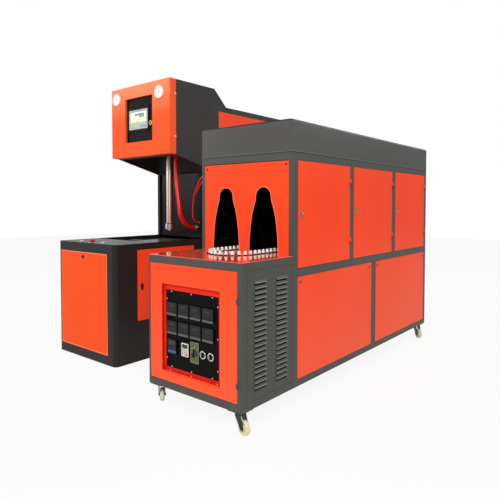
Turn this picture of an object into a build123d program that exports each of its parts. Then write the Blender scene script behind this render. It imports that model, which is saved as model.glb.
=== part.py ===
from build123d import *
from math import atan2, cos, pi, radians, sin, tan
import os

# Two-unit stretch blow moulding machine, in millimetres.
# The heater stands at the right (+X), the blowing unit at the left (-X), 645 mm apart.
# The operator faces +Y. The origin is on the floor, at the centre of the whole footprint.

# Overall sizes of the heater
heater_width = 675.0
heater_length = 2400.0
heater_ground = 120.0
table_height = 842.0
seam_height = 1400.0
heater_height = 1575.0
oven_setback = 424.0

# Overall sizes of the blowing unit
unit_gap = 645.0
blower_width = 720.0
blower_setback = 234.0
blower_length = 1916.0
bed_height = 841.0
head_setback = 734.0
column_setback = 1226.0
head_height = 2067.0
column_height = head_height - 132.0

# Sheet metal
skin = 2.0
wall = 3.0
frame_depth = 26.0
rail_height = 40.0
table_sheet = 3.0
door_gap = 1.5
panel_gap = 0.3
door_depth = 20.0

# Hinges and turning locks
hinge_radius = 4.0
hinge_lift = 0.3
hinge_leaf = 18.0
hinge_length = 24.0
hinge_pin = 2.0
lock_radius = 9.0
lock_shaft = 7.0
lock_proud = 5.0
fit = 0.05

# Casters
caster_inset = 48.0
caster_trail = 32.0
wheel_radius = 37.5
wheel_width = 24.0
hub_width = 26.0
rim_chamfer = 4.0
front_turn = -13.0

# The shared frame: the front right wheel stands out furthest at the right, hinge barrels at the front
proud = hinge_lift + 2 * hinge_radius
wheel_reach = caster_trail * cos(radians(front_turn)) - caster_inset
wheel_reach += wheel_radius * cos(radians(front_turn))
wheel_reach += (wheel_width / 2 - rim_chamfer) * sin(radians(abs(front_turn)))
right_x = (heater_width + unit_gap + blower_width - wheel_reach) / 2
front_y = -(heater_length - proud) / 2
left_x = right_x - heater_width
mid_x = right_x - heater_width / 2
rear_y = front_y + heater_length
oven_y = front_y + oven_setback
bed_right = left_x - unit_gap
bed_left = bed_right - blower_width
bed_mid = (bed_left + bed_right) / 2
bed_y = front_y + blower_setback
bed_rear = bed_y + blower_length
head_y = front_y + head_setback
column_y = front_y + column_setback

os.makedirs("parts", exist_ok=True)


def block(x0, x1, y0, y1, z0, z1, mode=Mode.ADD):
    """A square-edged block between two corners, in the part being built."""
    with Locations(((x0 + x1) / 2, (y0 + y1) / 2, (z0 + z1) / 2)):
        Box(x1 - x0, y1 - y0, z1 - z0, mode=mode)


def area(u0, u1, v0, v1, mode=Mode.ADD):
    """A rectangle between two corners, in the sketch being drawn."""
    with Locations(((u0 + u1) / 2, (v0 + v1) / 2)):
        Rectangle(u1 - u0, v1 - v0, mode=mode)


def upright(x, y, z0, z1, radius, mode=Mode.ADD):
    """A round bar or hole along Z."""
    with Locations((x, y, (z0 + z1) / 2)):
        Cylinder(radius, z1 - z0, mode=mode)


def along_y(x, z, y0, y1, radius, mode=Mode.ADD):
    """A round bar or hole along Y."""
    with Locations((x, (y0 + y1) / 2, z)):
        Cylinder(radius, y1 - y0, rotation=(90, 0, 0), mode=mode)


def along_x(y, z, x0, x1, radius, mode=Mode.ADD):
    """A round bar or hole along X."""
    with Locations(((x0 + x1) / 2, y, z)):
        Cylinder(radius, x1 - x0, rotation=(0, 90, 0), mode=mode)


def side_tray(x_face, y0, y1, z0, z1):
    """A folded sheet tray that faces +X and is open towards -X."""
    block(x_face - door_depth, x_face, y0, y1, z0, z1)
    block(x_face - door_depth, x_face - skin, y0 + skin, y1 - skin, z0 + skin, z1 - skin, Mode.SUBTRACT)


def front_tray(y_face, x0, x1, z0, z1):
    """A folded sheet tray that faces -Y and is open towards +Y."""
    block(x0, x1, y_face, y_face + door_depth, z0, z1)
    block(x0 + skin, x1 - skin, y_face + skin, y_face + door_depth, z0 + skin, z1 - skin, Mode.SUBTRACT)


def side_hinge_half(x_face, y_axis, y_leaf, z0, pin):
    """Half of a hinge on a +X face: barrel, leaf, and either the pin or its hole."""
    x_axis = x_face + hinge_lift + hinge_radius
    upright(x_axis, y_axis, z0, z0 + hinge_length, hinge_radius)
    block(x_face, x_face + hinge_lift + skin, min(y_axis, y_leaf), max(y_axis, y_leaf), z0, z0 + hinge_length)
    if pin:
        upright(x_axis, y_axis, z0 - hinge_length / 2, z0, hinge_pin)
    else:
        upright(x_axis, y_axis, z0 + hinge_length / 3, z0 + hinge_length, hinge_pin + fit, Mode.SUBTRACT)


def front_hinge_half(y_face, x_axis, x_leaf, z0, pin):
    """Half of a hinge on a -Y face: barrel, leaf, and either the pin or its hole."""
    y_axis = y_face - hinge_lift - hinge_radius
    upright(x_axis, y_axis, z0, z0 + hinge_length, hinge_radius)
    block(min(x_axis, x_leaf), max(x_axis, x_leaf), y_face - hinge_lift - skin, y_face, z0, z0 + hinge_length)
    if pin:
        upright(x_axis, y_axis, z0 - hinge_length / 2, z0, hinge_pin)
    else:
        upright(x_axis, y_axis, z0 + hinge_length / 3, z0 + hinge_length, hinge_pin + fit, Mode.SUBTRACT)


def save(piece, name):
    """Labels a finished piece and writes its STEP file."""
    piece.part.label = name
    export_step(piece.part, f"parts/{name}.step")


# Heater frame: two side frames of folded channel, L-shaped in side view, bolted to five cross rails.
# The side windows take the louvre panel, two lower panels and three oven doors.
door_bottom = 770.0
door_top = 1357.0
lower_bottom = heater_ground + rail_height
lower_top = 723.0
door_spans = [(474.0, 1067.0), (1115.0, 1714.0), (1768.0, 2360.0)]
lower_spans = [(474.0, 1382.0), (1446.0, 2360.0)]
louvre_span = (41.0, 424.0)
cabinet_top = table_height - table_sheet
side_windows = [(louvre_span[0], louvre_span[1], lower_bottom, cabinet_top - rail_height)]
side_windows += [(a, b, lower_bottom, lower_top) for a, b in lower_spans]
side_windows += [(a, b, door_bottom, door_top) for a, b in door_spans]
hinge_heights = (886.0, 1254.0)
control_hinge_heights = (263.0, 668.0)
control_left_margin = 12.0
control_top = cabinet_top - rail_height


def side_outline(inset):
    """The side frame's outline, every edge moved into the metal by inset."""
    Polygon(
        (front_y + inset, heater_ground + inset),
        (rear_y - inset, heater_ground + inset),
        (rear_y - inset, seam_height - inset),
        (oven_y + inset, seam_height - inset),
        (oven_y + inset, cabinet_top - inset),
        (front_y + inset, cabinet_top - inset),
        align=None,
    )
    for y0, y1, z0, z1 in side_windows:
        area(front_y + y0 - inset, front_y + y1 + inset, z0 - inset, z1 + inset, Mode.SUBTRACT)


def cross_rail(y0, z0, z1):
    """A channel across the heater between the side frames, open at the back."""
    block(left_x + frame_depth, right_x - frame_depth, y0, y0 + frame_depth, z0, z1)
    block(left_x + frame_depth, right_x - frame_depth, y0 + skin, y0 + frame_depth,
          z0 + skin, z1 - skin, Mode.SUBTRACT)


with BuildPart() as cross_rails:
    cross_rail(front_y, heater_ground, lower_bottom)
    cross_rail(front_y, control_top, cabinet_top)
    cross_rail(oven_y, door_top, seam_height)
    cross_rail(rear_y - frame_depth, heater_ground, lower_bottom)
    cross_rail(rear_y - frame_depth, door_top, seam_height)
save(cross_rails, "cross_rails")

for name, face_x, inward in (("left_frame", left_x, 1), ("right_frame", right_x, -1)):
    with BuildPart() as side_frame:
        with BuildSketch(Plane.YZ.offset(face_x)):
            side_outline(0)
        extrude(amount=inward * frame_depth)
        with BuildSketch(Plane.YZ.offset(face_x + inward * skin)):
            side_outline(skin)
        extrude(amount=inward * (frame_depth - skin), mode=Mode.SUBTRACT)
        if name == "left_frame":
            block(left_x + control_left_margin, left_x + frame_depth, front_y, front_y + door_depth + wall,
                  lower_bottom, control_top, Mode.SUBTRACT)
        else:
            for a, b in door_spans:
                for z in hinge_heights:
                    axis_y = front_y + b - door_gap / 2
                    side_hinge_half(right_x, axis_y, axis_y + hinge_leaf, z - hinge_length, False)
            for z in control_hinge_heights:
                axis_x = right_x - frame_depth - door_gap / 2
                front_hinge_half(front_y, axis_x, axis_x + hinge_leaf, z - hinge_length, False)
    save(side_frame, name)

# Heater base: a floor pan between the side frames, with a plate under each corner for its caster.
plate_size = 90.0
plate_thick = 5.0
kingpin_radius = 6.0
caster_places = {
    "front_right": (right_x - caster_inset, front_y + caster_inset, front_turn),
    "front_left": (left_x + caster_inset, front_y + caster_inset, 136.0),
    "rear_right": (right_x - caster_inset, rear_y - caster_inset, -40.0),
    "rear_left": (left_x + caster_inset, rear_y - caster_inset, -100.0),
}

with BuildPart() as heater_base:
    block(left_x + frame_depth, right_x - frame_depth, front_y + frame_depth, rear_y - frame_depth,
          heater_ground, heater_ground + wall)
    for x, y, turn in caster_places.values():
        block(x - plate_size / 2, x + plate_size / 2, y - plate_size / 2, y + plate_size / 2,
              heater_ground - plate_thick, heater_ground)
        upright(x, y, heater_ground - plate_thick, heater_ground + wall, kingpin_radius + fit, Mode.SUBTRACT)
save(heater_base, "heater_base")

# Louvre panel: a removable sheet in the right side of the front cabinet, two columns of pressed louvres.
louvre_count = 21
louvre_pitch = 25.9
louvre_width = 92.0
louvre_slot = 13.0
louvre_blade = 1.5
louvre_reach = 6.0
louvre_columns = (143.0, 323.0)
louvre_mid_z = 479.5

with BuildPart() as louvre_panel:
    y0 = front_y + louvre_span[0] + panel_gap
    y1 = front_y + louvre_span[1] - panel_gap
    z0 = lower_bottom + panel_gap
    z1 = control_top - panel_gap
    side_tray(right_x, y0, y1, z0, z1)
    with BuildSketch(Plane.YZ.offset(right_x)):
        for column in louvre_columns:
            with Locations((front_y + column, louvre_mid_z)):
                with GridLocations(louvre_width, louvre_pitch, 1, louvre_count):
                    Rectangle(louvre_width, louvre_slot)
    extrude(amount=-skin, mode=Mode.SUBTRACT)
    for column in louvre_columns:
        with BuildSketch(Plane.XZ.offset(-(front_y + column + louvre_width / 2))):
            for i in range(louvre_count):
                z = louvre_mid_z + (i - (louvre_count - 1) / 2) * louvre_pitch + louvre_slot / 2
                with BuildLine():
                    Polyline(
                        (right_x - skin, z),
                        (right_x, z + louvre_blade),
                        (right_x + louvre_reach, z - louvre_slot),
                        (right_x + louvre_reach - louvre_blade, z - louvre_slot),
                        close=True,
                    )
                make_face()
        extrude(amount=louvre_width)
save(louvre_panel, "louvre_panel")

# Carrier chain: twelve-tooth sprockets under the table, two holders on each link,
# so the loop comes out of one arch, round the front sprocket and in at the other.
sprocket_teeth = 12
chain_radius = 139.5
chain_pitch = 2 * chain_radius * sin(pi / sprocket_teeth)
straight_links = 25
idler_y = front_y + 335.0
drive_y = idler_y + straight_links * chain_pitch
slot_width = 34.0
link_width = 26.0
link_thick = 5.0
link_z = 800.0
roller_radius = 11.0
roller_height = 14.0
holder_radius = 7.5
holder_top = table_height + 18.0
bench_overlap = 10.0

chain_points = []
for i in range(straight_links):
    chain_points.append((mid_x + chain_radius, idler_y + i * chain_pitch))
for i in range(sprocket_teeth // 2):
    angle = 2 * pi * i / sprocket_teeth
    chain_points.append((mid_x + chain_radius * cos(angle), drive_y + chain_radius * sin(angle)))
for i in range(straight_links):
    chain_points.append((mid_x - chain_radius, drive_y - i * chain_pitch))
for i in range(sprocket_teeth // 2):
    angle = pi + 2 * pi * i / sprocket_teeth
    chain_points.append((mid_x + chain_radius * cos(angle), idler_y + chain_radius * sin(angle)))

link_places = []
holder_places = []
for i in range(len(chain_points)):
    x0, y0 = chain_points[i]
    x1, y1 = chain_points[(i + 1) % len(chain_points)]
    z = link_z + (i % 2 + 0.5) * link_thick
    heading = atan2(y1 - y0, x1 - x0)
    link_places.append(Location(((x0 + x1) / 2, (y0 + y1) / 2, z), (0, 0, heading * 180 / pi)))
    for share in (0.25, 0.75):
        holder_places.append((x0 + (x1 - x0) * share, y0 + (y1 - y0) * share))

with BuildPart() as carrier_chain:
    with Locations(*link_places):
        Box(chain_pitch + bench_overlap, link_width, link_thick)
    with BuildSketch(Plane.XY.offset(link_z - roller_height)):
        with Locations(*chain_points):
            RegularPolygon(roller_radius, 6)
    extrude(amount=roller_height)
    with BuildSketch(Plane.XY.offset(link_z)):
        with Locations(*holder_places):
            RegularPolygon(holder_radius, 8)
    extrude(amount=holder_top - link_z)
save(carrier_chain, "carrier_chain")

# Table top: a sheet over the front cabinet that runs on through the oven,
# with a slot that the preform holders follow and an island inside the loop.
table_rear = drive_y + chain_radius + 80.0

with BuildPart() as table_top:
    with BuildSketch(Plane.XY.offset(cabinet_top)):
        area(left_x, right_x, front_y, oven_y)
        area(left_x + frame_depth, right_x - frame_depth, oven_y, table_rear)
        with Locations((mid_x, (idler_y + drive_y) / 2)):
            SlotCenterToCenter(drive_y - idler_y, 2 * chain_radius + slot_width, rotation=90, mode=Mode.SUBTRACT)
        with Locations((mid_x, (idler_y + drive_y) / 2)):
            SlotCenterToCenter(drive_y - idler_y, 2 * chain_radius - slot_width, rotation=90)
    extrude(amount=table_sheet)
save(table_top, "table_top")

# Arch panel: the oven's front, with two arches that flare downwards for the preforms.
arch_apex = 1215.0
arch_radius = 54.0
arch_foot = 104.0
arch_waist = 66.0
arch_waist_z = 1112.0
arch_panel_top = 1353.0

with BuildPart() as arch_panel:
    with BuildSketch(Plane.XZ.offset(-oven_y - skin)):
        area(left_x + frame_depth, right_x - frame_depth, table_height, arch_panel_top)
        for side in (-1, 1):
            centre = mid_x + side * chain_radius
            shoulder = arch_apex - arch_radius
            with BuildLine():
                Line((centre - arch_foot, table_height), (centre + arch_foot, table_height))
                Spline(
                    (centre + arch_foot, table_height),
                    (centre + arch_waist, arch_waist_z),
                    (centre + arch_radius, shoulder),
                    tangents=[(-0.06, 1.0), (-0.02, 1.0)],
                )
                ThreePointArc((centre + arch_radius, shoulder), (centre, arch_apex), (centre - arch_radius, shoulder))
                Spline(
                    (centre - arch_radius, shoulder),
                    (centre - arch_waist, arch_waist_z),
                    (centre - arch_foot, table_height),
                    tangents=[(-0.02, -1.0), (-0.06, -1.0)],
                )
            make_face(mode=Mode.SUBTRACT)
    extrude(amount=skin)
save(arch_panel, "arch_panel")

# Oven doors: folded trays hinged on their rear edges, each with a turning lock near its front edge.
lock_inset = 41.0
lock_height = 1067.0
cam_length = 30.0
cam_width = 16.0
cam_thick = 3.0


def side_lock(x_face, y, z):
    """A turning lock on a +X face: knob, shaft through the door and a cam behind it."""
    along_x(y, z, x_face - skin - 1, x_face, lock_shaft)
    with BuildSketch(Plane.YZ.offset(x_face)) as cap:
        with Locations((y, z)):
            Circle(lock_radius)
    extrude(cap.sketch, amount=lock_proud, taper=12)
    block(x_face + lock_proud - 1.5, x_face + lock_proud, y - 1.2, y + 1.2, z - 5, z + 5, Mode.SUBTRACT)
    block(x_face - skin - 1 - cam_thick, x_face - skin - 1, y - cam_width / 2, y + cam_width / 2,
          z - cam_width / 2, z + cam_length)


for number, (a, b) in enumerate(door_spans, start=1):
    y0 = front_y + a + door_gap
    y1 = front_y + b - door_gap
    with BuildPart() as oven_door:
        side_tray(right_x, y0, y1, door_bottom + door_gap, door_top - door_gap)
        for z in hinge_heights:
            side_hinge_half(right_x, y1 + door_gap / 2, y1 - hinge_leaf, z + hinge_lift, True)
        along_x(y0 + lock_inset, lock_height, right_x - skin, right_x, lock_shaft + fit, Mode.SUBTRACT)
    save(oven_door, f"oven_door_{number}")
    with BuildPart() as oven_lock:
        side_lock(right_x + fit, y0 + lock_inset, lock_height)
    save(oven_lock, f"oven_lock_{number}")

# Fixed panels of the heater: two lower right, six at the left and one at the rear, each a folded tray.
with BuildPart() as side_panels:
    for a, b in lower_spans:
        side_tray(right_x, front_y + a + panel_gap, front_y + b - panel_gap,
                  lower_bottom + panel_gap, lower_top - panel_gap)
    for y0, y1, z0, z1 in side_windows:
        block(left_x, left_x + door_depth, front_y + y0 + panel_gap, front_y + y1 - panel_gap,
              z0 + panel_gap, z1 - panel_gap)
        block(left_x + skin, left_x + door_depth, front_y + y0 + panel_gap + skin, front_y + y1 - panel_gap - skin,
              z0 + panel_gap + skin, z1 - panel_gap - skin, Mode.SUBTRACT)
    block(left_x + frame_depth, right_x - frame_depth, rear_y - door_depth, rear_y, lower_bottom, door_top)
    block(left_x + frame_depth + skin, right_x - frame_depth - skin, rear_y - door_depth, rear_y - skin,
          lower_bottom + skin, door_top - skin, Mode.SUBTRACT)
save(side_panels, "side_panels")

# Hood: the dark cover on the oven, open below, with rounded upper edges.
hood_round = 14.0

with BuildPart() as hood:
    block(left_x, right_x, oven_y, rear_y, seam_height, heater_height)
    fillet(hood.edges().filter_by(Axis.Y).group_by(Axis.Z)[-1], radius=hood_round)
    offset(amount=-skin, openings=hood.faces().sort_by(Axis.Z)[0])
save(hood, "hood")

# Control door: an orange tray hinged on its right edge, with a recessed window for the instrument plate.
window_left = 566.0
window_right = 139.0
window_bottom = 208.0
window_top = 690.0
window_depth = 18.0
ledge_left = 15.0
ledge_right = 21.0
ledge_bottom = 27.0
ledge_top = 33.0
plate_lap = 8.0
panel_sheet = 3.0

control_x0 = left_x + control_left_margin + door_gap
control_x1 = right_x - frame_depth - door_gap
control_z0 = lower_bottom + door_gap
control_z1 = control_top - door_gap
win_x0 = right_x - window_left
win_x1 = right_x - window_right

with BuildPart() as control_door:
    front_tray(front_y, control_x0, control_x1, control_z0, control_z1)
    block(win_x0 - skin, win_x1 + skin, front_y, front_y + window_depth, window_bottom - skin, window_top + skin)
    block(win_x0, win_x1, front_y, front_y + window_depth - skin, window_bottom, window_top, Mode.SUBTRACT)
    block(win_x0 + ledge_left, win_x1 - ledge_right, front_y, front_y + window_depth,
          window_bottom + ledge_bottom, window_top - ledge_top, Mode.SUBTRACT)
    for z in control_hinge_heights:
        front_hinge_half(front_y, control_x1 + door_gap / 2, control_x1 - hinge_leaf, z + hinge_lift, True)
save(control_door, "control_door")

# Instrument plate and what is let into it: eight lamp regulators in two rows,
# a counter, a drive keypad and the plate of the main switch.
regulator_size = (72.0, 66.0)
regulator_pitch = 89.0
regulator_x = right_x - 504.0
regulator_rows = (556.0, 456.0)
bezel_depth = 8.0
body_depth = 55.0
counter_place = (right_x - 505.0, 354.0, 70.0, 80.0)
keypad_place = (right_x - 405.0, 352.0, 57.0, 75.0)
switch_place = (right_x - 331.0, 348.0, 62.0, 111.0)
knob_places = ((right_x - 274.0, 347.0), (right_x - 218.0, 347.0))
switch_shaft = 6.0
knob_shaft = 4.0
let_in = 4.0
plate_y = front_y + window_depth

cutouts = []
for z in regulator_rows:
    for i in range(4):
        cutouts.append((regulator_x + i * regulator_pitch, z, regulator_size[0], regulator_size[1]))
cutouts.append(counter_place)
cutouts.append(keypad_place)

with BuildPart() as control_panel:
    block(win_x0 - plate_lap, win_x1 + plate_lap, plate_y, plate_y + panel_sheet,
          window_bottom - plate_lap, window_top + plate_lap)
    for x, z, width, height in cutouts:
        block(x - width / 2 + let_in - fit, x + width / 2 - let_in + fit, plate_y, plate_y + panel_sheet,
              z - height / 2 + let_in - fit, z + height / 2 - let_in + fit, Mode.SUBTRACT)
    along_y(switch_place[0], switch_place[1], plate_y, plate_y + panel_sheet, switch_shaft + fit, Mode.SUBTRACT)
    for x, z in knob_places:
        along_y(x, z, plate_y, plate_y + panel_sheet, knob_shaft + fit, Mode.SUBTRACT)
save(control_panel, "control_panel")

with BuildPart() as panel_instruments:
    for x, z, width, height in cutouts:
        with BuildSketch(Plane.XZ.offset(-plate_y)):
            with Locations((x, z)):
                Rectangle(width, height)
        extrude(amount=bezel_depth, taper=10)
        block(x - width / 2 + let_in, x + width / 2 - let_in, plate_y, plate_y + body_depth,
              z - height / 2 + let_in, z + height / 2 - let_in)
    x, z, width, height = switch_place
    block(x - width / 2, x + width / 2, plate_y - panel_sheet, plate_y, z - height / 2, z + height / 2)
    along_y(x, z, plate_y - panel_sheet, plate_y, switch_shaft + fit, Mode.SUBTRACT)
save(panel_instruments, "panel_instruments")

# Main switch: a rotary handle with a grip bar, on a shaft through its plate.
with BuildPart() as main_switch:
    x, z = switch_place[0], switch_place[1]
    base = plate_y - panel_sheet - hinge_lift
    along_y(x, z, base, plate_y + panel_sheet + 6, switch_shaft)
    along_y(x, z, base - 6, base, 20)
    with BuildSketch(Plane.XZ.offset(-base + 6)):
        with Locations((x, z)):
            SlotOverall(38, 11, rotation=90)
    extrude(amount=9)
save(main_switch, "main_switch")

# Two selector knobs: turned knobs with a flat grip, on shafts through the plate.
for number, (x, z) in enumerate(knob_places, start=1):
    with BuildPart() as selector_knob:
        base = plate_y - hinge_lift
        along_y(x, z, base, plate_y + panel_sheet + 6, knob_shaft)
        with BuildSketch(Plane.XZ.offset(-base)):
            with Locations((x, z)):
                Circle(14)
        extrude(amount=8, taper=10)
        with BuildSketch(Plane.XZ.offset(-base + 8)):
            with Locations((x, z)):
                SlotOverall(22, 7, rotation=90)
        extrude(amount=6)
    save(selector_knob, f"selector_knob_{number}")

# Casters: a pressed fork on a kingpin and a wheel on the fork's axle bolt.
wheel_bore = 6.0
fork_sheet = 3.0
fork_gap = 30.0
disc_radius = 27.0
disc_thick = 8.0
fork_top = heater_ground - plate_thick - hinge_lift

for name, (x, y, turn) in caster_places.items():
    side = Plane((x, y, 0), x_dir=(cos(radians(turn)), sin(radians(turn)), 0),
                 z_dir=(sin(radians(turn)), -cos(radians(turn)), 0))
    with BuildPart() as fork:
        upright(x, y, fork_top - disc_thick, fork_top, disc_radius)
        upright(x, y, fork_top, heater_ground + wall, kingpin_radius)
        for cheek in (-1, 1):
            with BuildSketch(side.offset(cheek * fork_gap / 2)):
                with BuildLine():
                    Polyline(
                        (-disc_radius + 6, fork_top - disc_thick + 1),
                        (disc_radius - 6, fork_top - disc_thick + 1),
                        (caster_trail + 11, wheel_radius + 8),
                        (caster_trail + 8, wheel_radius - 11),
                        (caster_trail - 9, wheel_radius - 9),
                        (-disc_radius + 6, fork_top - disc_thick - 22),
                        close=True,
                    )
                make_face()
            extrude(amount=cheek * fork_sheet)
        with BuildSketch(side.offset(-fork_gap / 2 - fork_sheet - 4)):
            with Locations((caster_trail, wheel_radius)):
                Circle(wheel_bore)
        extrude(amount=fork_gap + 2 * fork_sheet + 8)
    save(fork, f"caster_fork_{name}")
    with BuildPart() as wheel:
        with BuildSketch(Plane(side.from_local_coords((caster_trail, wheel_radius, 0)),
                               x_dir=side.x_dir, z_dir=-side.y_dir)):
            with BuildLine():
                Polyline(
                    (wheel_bore + fit, -hub_width / 2),
                    (13, -hub_width / 2),
                    (15, -wheel_width / 2 + 5),
                    (27, -wheel_width / 2 + 5),
                    (29, -wheel_width / 2),
                    (wheel_radius - 3, -wheel_width / 2),
                    (wheel_radius, -wheel_width / 2 + 4),
                    (wheel_radius, wheel_width / 2 - 4),
                    (wheel_radius - 3, wheel_width / 2),
                    (29, wheel_width / 2),
                    (27, wheel_width / 2 - 5),
                    (15, wheel_width / 2 - 5),
                    (13, hub_width / 2),
                    (wheel_bore + fit, hub_width / 2),
                    close=True,
                )
            make_face()
        revolve(axis=Axis(side.from_local_coords((caster_trail, wheel_radius, 0)), side.z_dir))
    save(wheel, f"caster_wheel_{name}")

# Chain support: a spine on three pedestals, carrying two upright strips under the table island
# and the wear strips that the links slide on. The spine holds the bearings of both sprockets.
pedestals = (650.0, 1240.0, 1830.0)
spine_half = 30.0
spine_z = 700.0
spine_top = 740.0
strip_out = 101.0
strip_thick = 6.0
strip_margin = 170.0
shaft_radius = 15.0

with BuildPart() as chain_support:
    block(mid_x - spine_half, mid_x + spine_half, idler_y - 40, drive_y + 40, spine_z, spine_top)
    for y in (idler_y, drive_y):
        upright(mid_x, y, spine_z, spine_top, shaft_radius + fit, Mode.SUBTRACT)
    for span in pedestals:
        y = front_y + span
        block(mid_x - 20, mid_x + 20, y - 20, y + 20, heater_ground + wall, spine_z)
        block(mid_x - 60, mid_x + 60, y - 40, y + 40, heater_ground + wall, heater_ground + 2 * wall)
        block(mid_x - strip_out, mid_x + strip_out, y - 20, y + 20, spine_top, spine_top + 12)
    for side in (-1, 1):
        outer = mid_x + side * strip_out
        inner = outer - side * strip_thick
        block(min(outer, inner), max(outer, inner), idler_y + strip_margin, drive_y - strip_margin,
              spine_top, cabinet_top)
        lip = mid_x + side * (chain_radius - roller_radius - 0.3)
        block(min(outer, lip), max(outer, lip), idler_y + strip_margin, drive_y - strip_margin,
              link_z - 5.3, link_z - 0.3)
save(chain_support, "chain_support")

# Sprockets: plates with a round pocket for each roller, on a hub and shaft. The rear one is driven.
# Their teeth stop just short of the rollers, because the chain stands still while they turn.
tooth_play = 0.4
tooth_height = 4.0
hub_radius = 30.0
gearbox_half = 65.0
gearbox_height = 100.0
shaft_end = 60.0

for name, y, foot in (("idler_sprocket", idler_y, spine_z), ("drive_sprocket", drive_y, spine_z - shaft_end)):
    with BuildPart() as sprocket:
        with BuildSketch(Plane.XY.offset(link_z - 13)):
            with Locations((mid_x, y)):
                Circle(chain_radius - roller_radius - tooth_play)
                with PolarLocations(chain_radius, sprocket_teeth):
                    Circle(roller_radius + tooth_play + tooth_height, mode=Mode.SUBTRACT)
                with PolarLocations(chain_radius * 0.55, 6, start_angle=15):
                    Circle(22, mode=Mode.SUBTRACT)
        extrude(amount=12)
        upright(mid_x, y, spine_top + 2, link_z - 13, hub_radius)
        upright(mid_x, y, foot, spine_top + 2, shaft_radius)
    save(sprocket, name)

# Gearmotor: a gearbox bolted under the spine, with the motor hanging below it.
with BuildPart() as gearmotor:
    block(mid_x - gearbox_half, mid_x + gearbox_half, drive_y - gearbox_half, drive_y + gearbox_half,
          spine_z - gearbox_height, spine_z)
    upright(mid_x, drive_y, spine_z - gearbox_height - 24, spine_z - gearbox_height, 45)
    upright(mid_x, drive_y, spine_z - gearbox_height - 230, spine_z - gearbox_height - 24, 62)
    with BuildSketch(Plane.XY.offset(spine_z - gearbox_height - 200)):
        with Locations((mid_x, drive_y)):
            with PolarLocations(64, 12):
                Rectangle(10, 4)
    extrude(amount=150)
    upright(mid_x, drive_y, spine_z - shaft_end - 1, spine_z, shaft_radius + fit, Mode.SUBTRACT)
save(gearmotor, "gearmotor")

# Heating zones: three at each side of the loop, each a folded reflector with five quartz lamps,
# and a plain reflector down each side of the island.
zone_starts = (500.0, 1030.0, 1560.0)
zone_length = 500.0
reflector_out = 250.0
reflector_top = 1270.0
reflector_fold = 24.0
reflector_sheet = 1.5
inner_reflector = 60.0
lamp_out = chain_radius + 80.0
lamp_rows = 5
lamp_pitch = 75.0
lamp_first = 905.0
lamp_radius = 6.0
lamp_base = 14.0

with BuildPart() as lamp_reflectors:
    for side in (-1, 1):
        face = mid_x + side * reflector_out
        back = face + side * reflector_sheet
        fold = face - side * reflector_fold
        for start in zone_starts:
            y0 = front_y + start
            block(min(face, back), max(face, back), y0, y0 + zone_length, table_height, reflector_top)
            block(min(fold, back), max(fold, back), y0, y0 + zone_length,
                  reflector_top - reflector_sheet, reflector_top)
            block(min(fold, back), max(fold, back), y0, y0 + zone_length,
                  table_height, table_height + reflector_sheet)
        face = mid_x + side * inner_reflector
        back = face - side * reflector_sheet
        block(min(face, back), max(face, back), front_y + zone_starts[0],
              front_y + zone_starts[-1] + zone_length, table_height, reflector_top)
save(lamp_reflectors, "lamp_reflectors")

lamp_heights = [lamp_first + i * lamp_pitch for i in range(lamp_rows)]

with BuildPart() as heating_lamps:
    for side in (-1, 1):
        centre = mid_x + side * lamp_out
        base_x = centre + side * (reflector_out - lamp_out - lamp_base / 2) / 2
        base_width = reflector_out - lamp_out + lamp_base / 2
        for start in zone_starts:
            y0 = front_y + start + lamp_base
            y1 = y0 + zone_length - 2 * lamp_base
            with BuildSketch(Plane.XZ.offset(-y1)):
                with Locations(*[(centre, z) for z in lamp_heights]):
                    RegularPolygon(lamp_radius, 8)
            extrude(amount=y1 - y0)
            with Locations(*[(base_x, y, z) for y in (y0, y1) for z in lamp_heights]):
                Box(base_width, lamp_base, lamp_base)
save(heating_lamps, "heating_lamps")

# Bed cabinet: a sheet-metal box with rounded front corners, one front and one side window,
# each window edged by a folded flange.
bed_round = 36.0
deck_sheet = 3.0
flange_depth = 25.0
bed_window = (41.0, 88.0, 64.0, 775.0)
bed_side_window = (189.0, 749.0, 288.0, 797.0)
bed_lock_z = 738.0
bed_side_lock_z = 532.0
bed_hinge_heights = (380.0, 705.0)
bed_top = bed_height - deck_sheet
tilt_inset = 3.0
tilt_pin = 2.0
bw_x0 = bed_left + bed_window[0]
bw_x1 = bed_right - bed_window[1]
bw_z0 = bed_window[2]
bw_z1 = bed_window[3]
sw_y0 = bed_y + bed_side_window[0]
sw_y1 = bed_y + bed_side_window[1]
sw_z0 = bed_side_window[2]
sw_z1 = bed_side_window[3]


def bed_outline(inset):
    """The bed's plan: square at the back, rounded at the front, every edge moved in by inset."""
    area(bed_left + inset, bed_right - inset, bed_y + bed_round, bed_rear - inset)
    area(bed_left + bed_round, bed_right - bed_round, bed_y + inset, bed_y + bed_round)
    with Locations((bed_left + bed_round, bed_y + bed_round), (bed_right - bed_round, bed_y + bed_round)):
        Circle(bed_round - inset)


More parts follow.
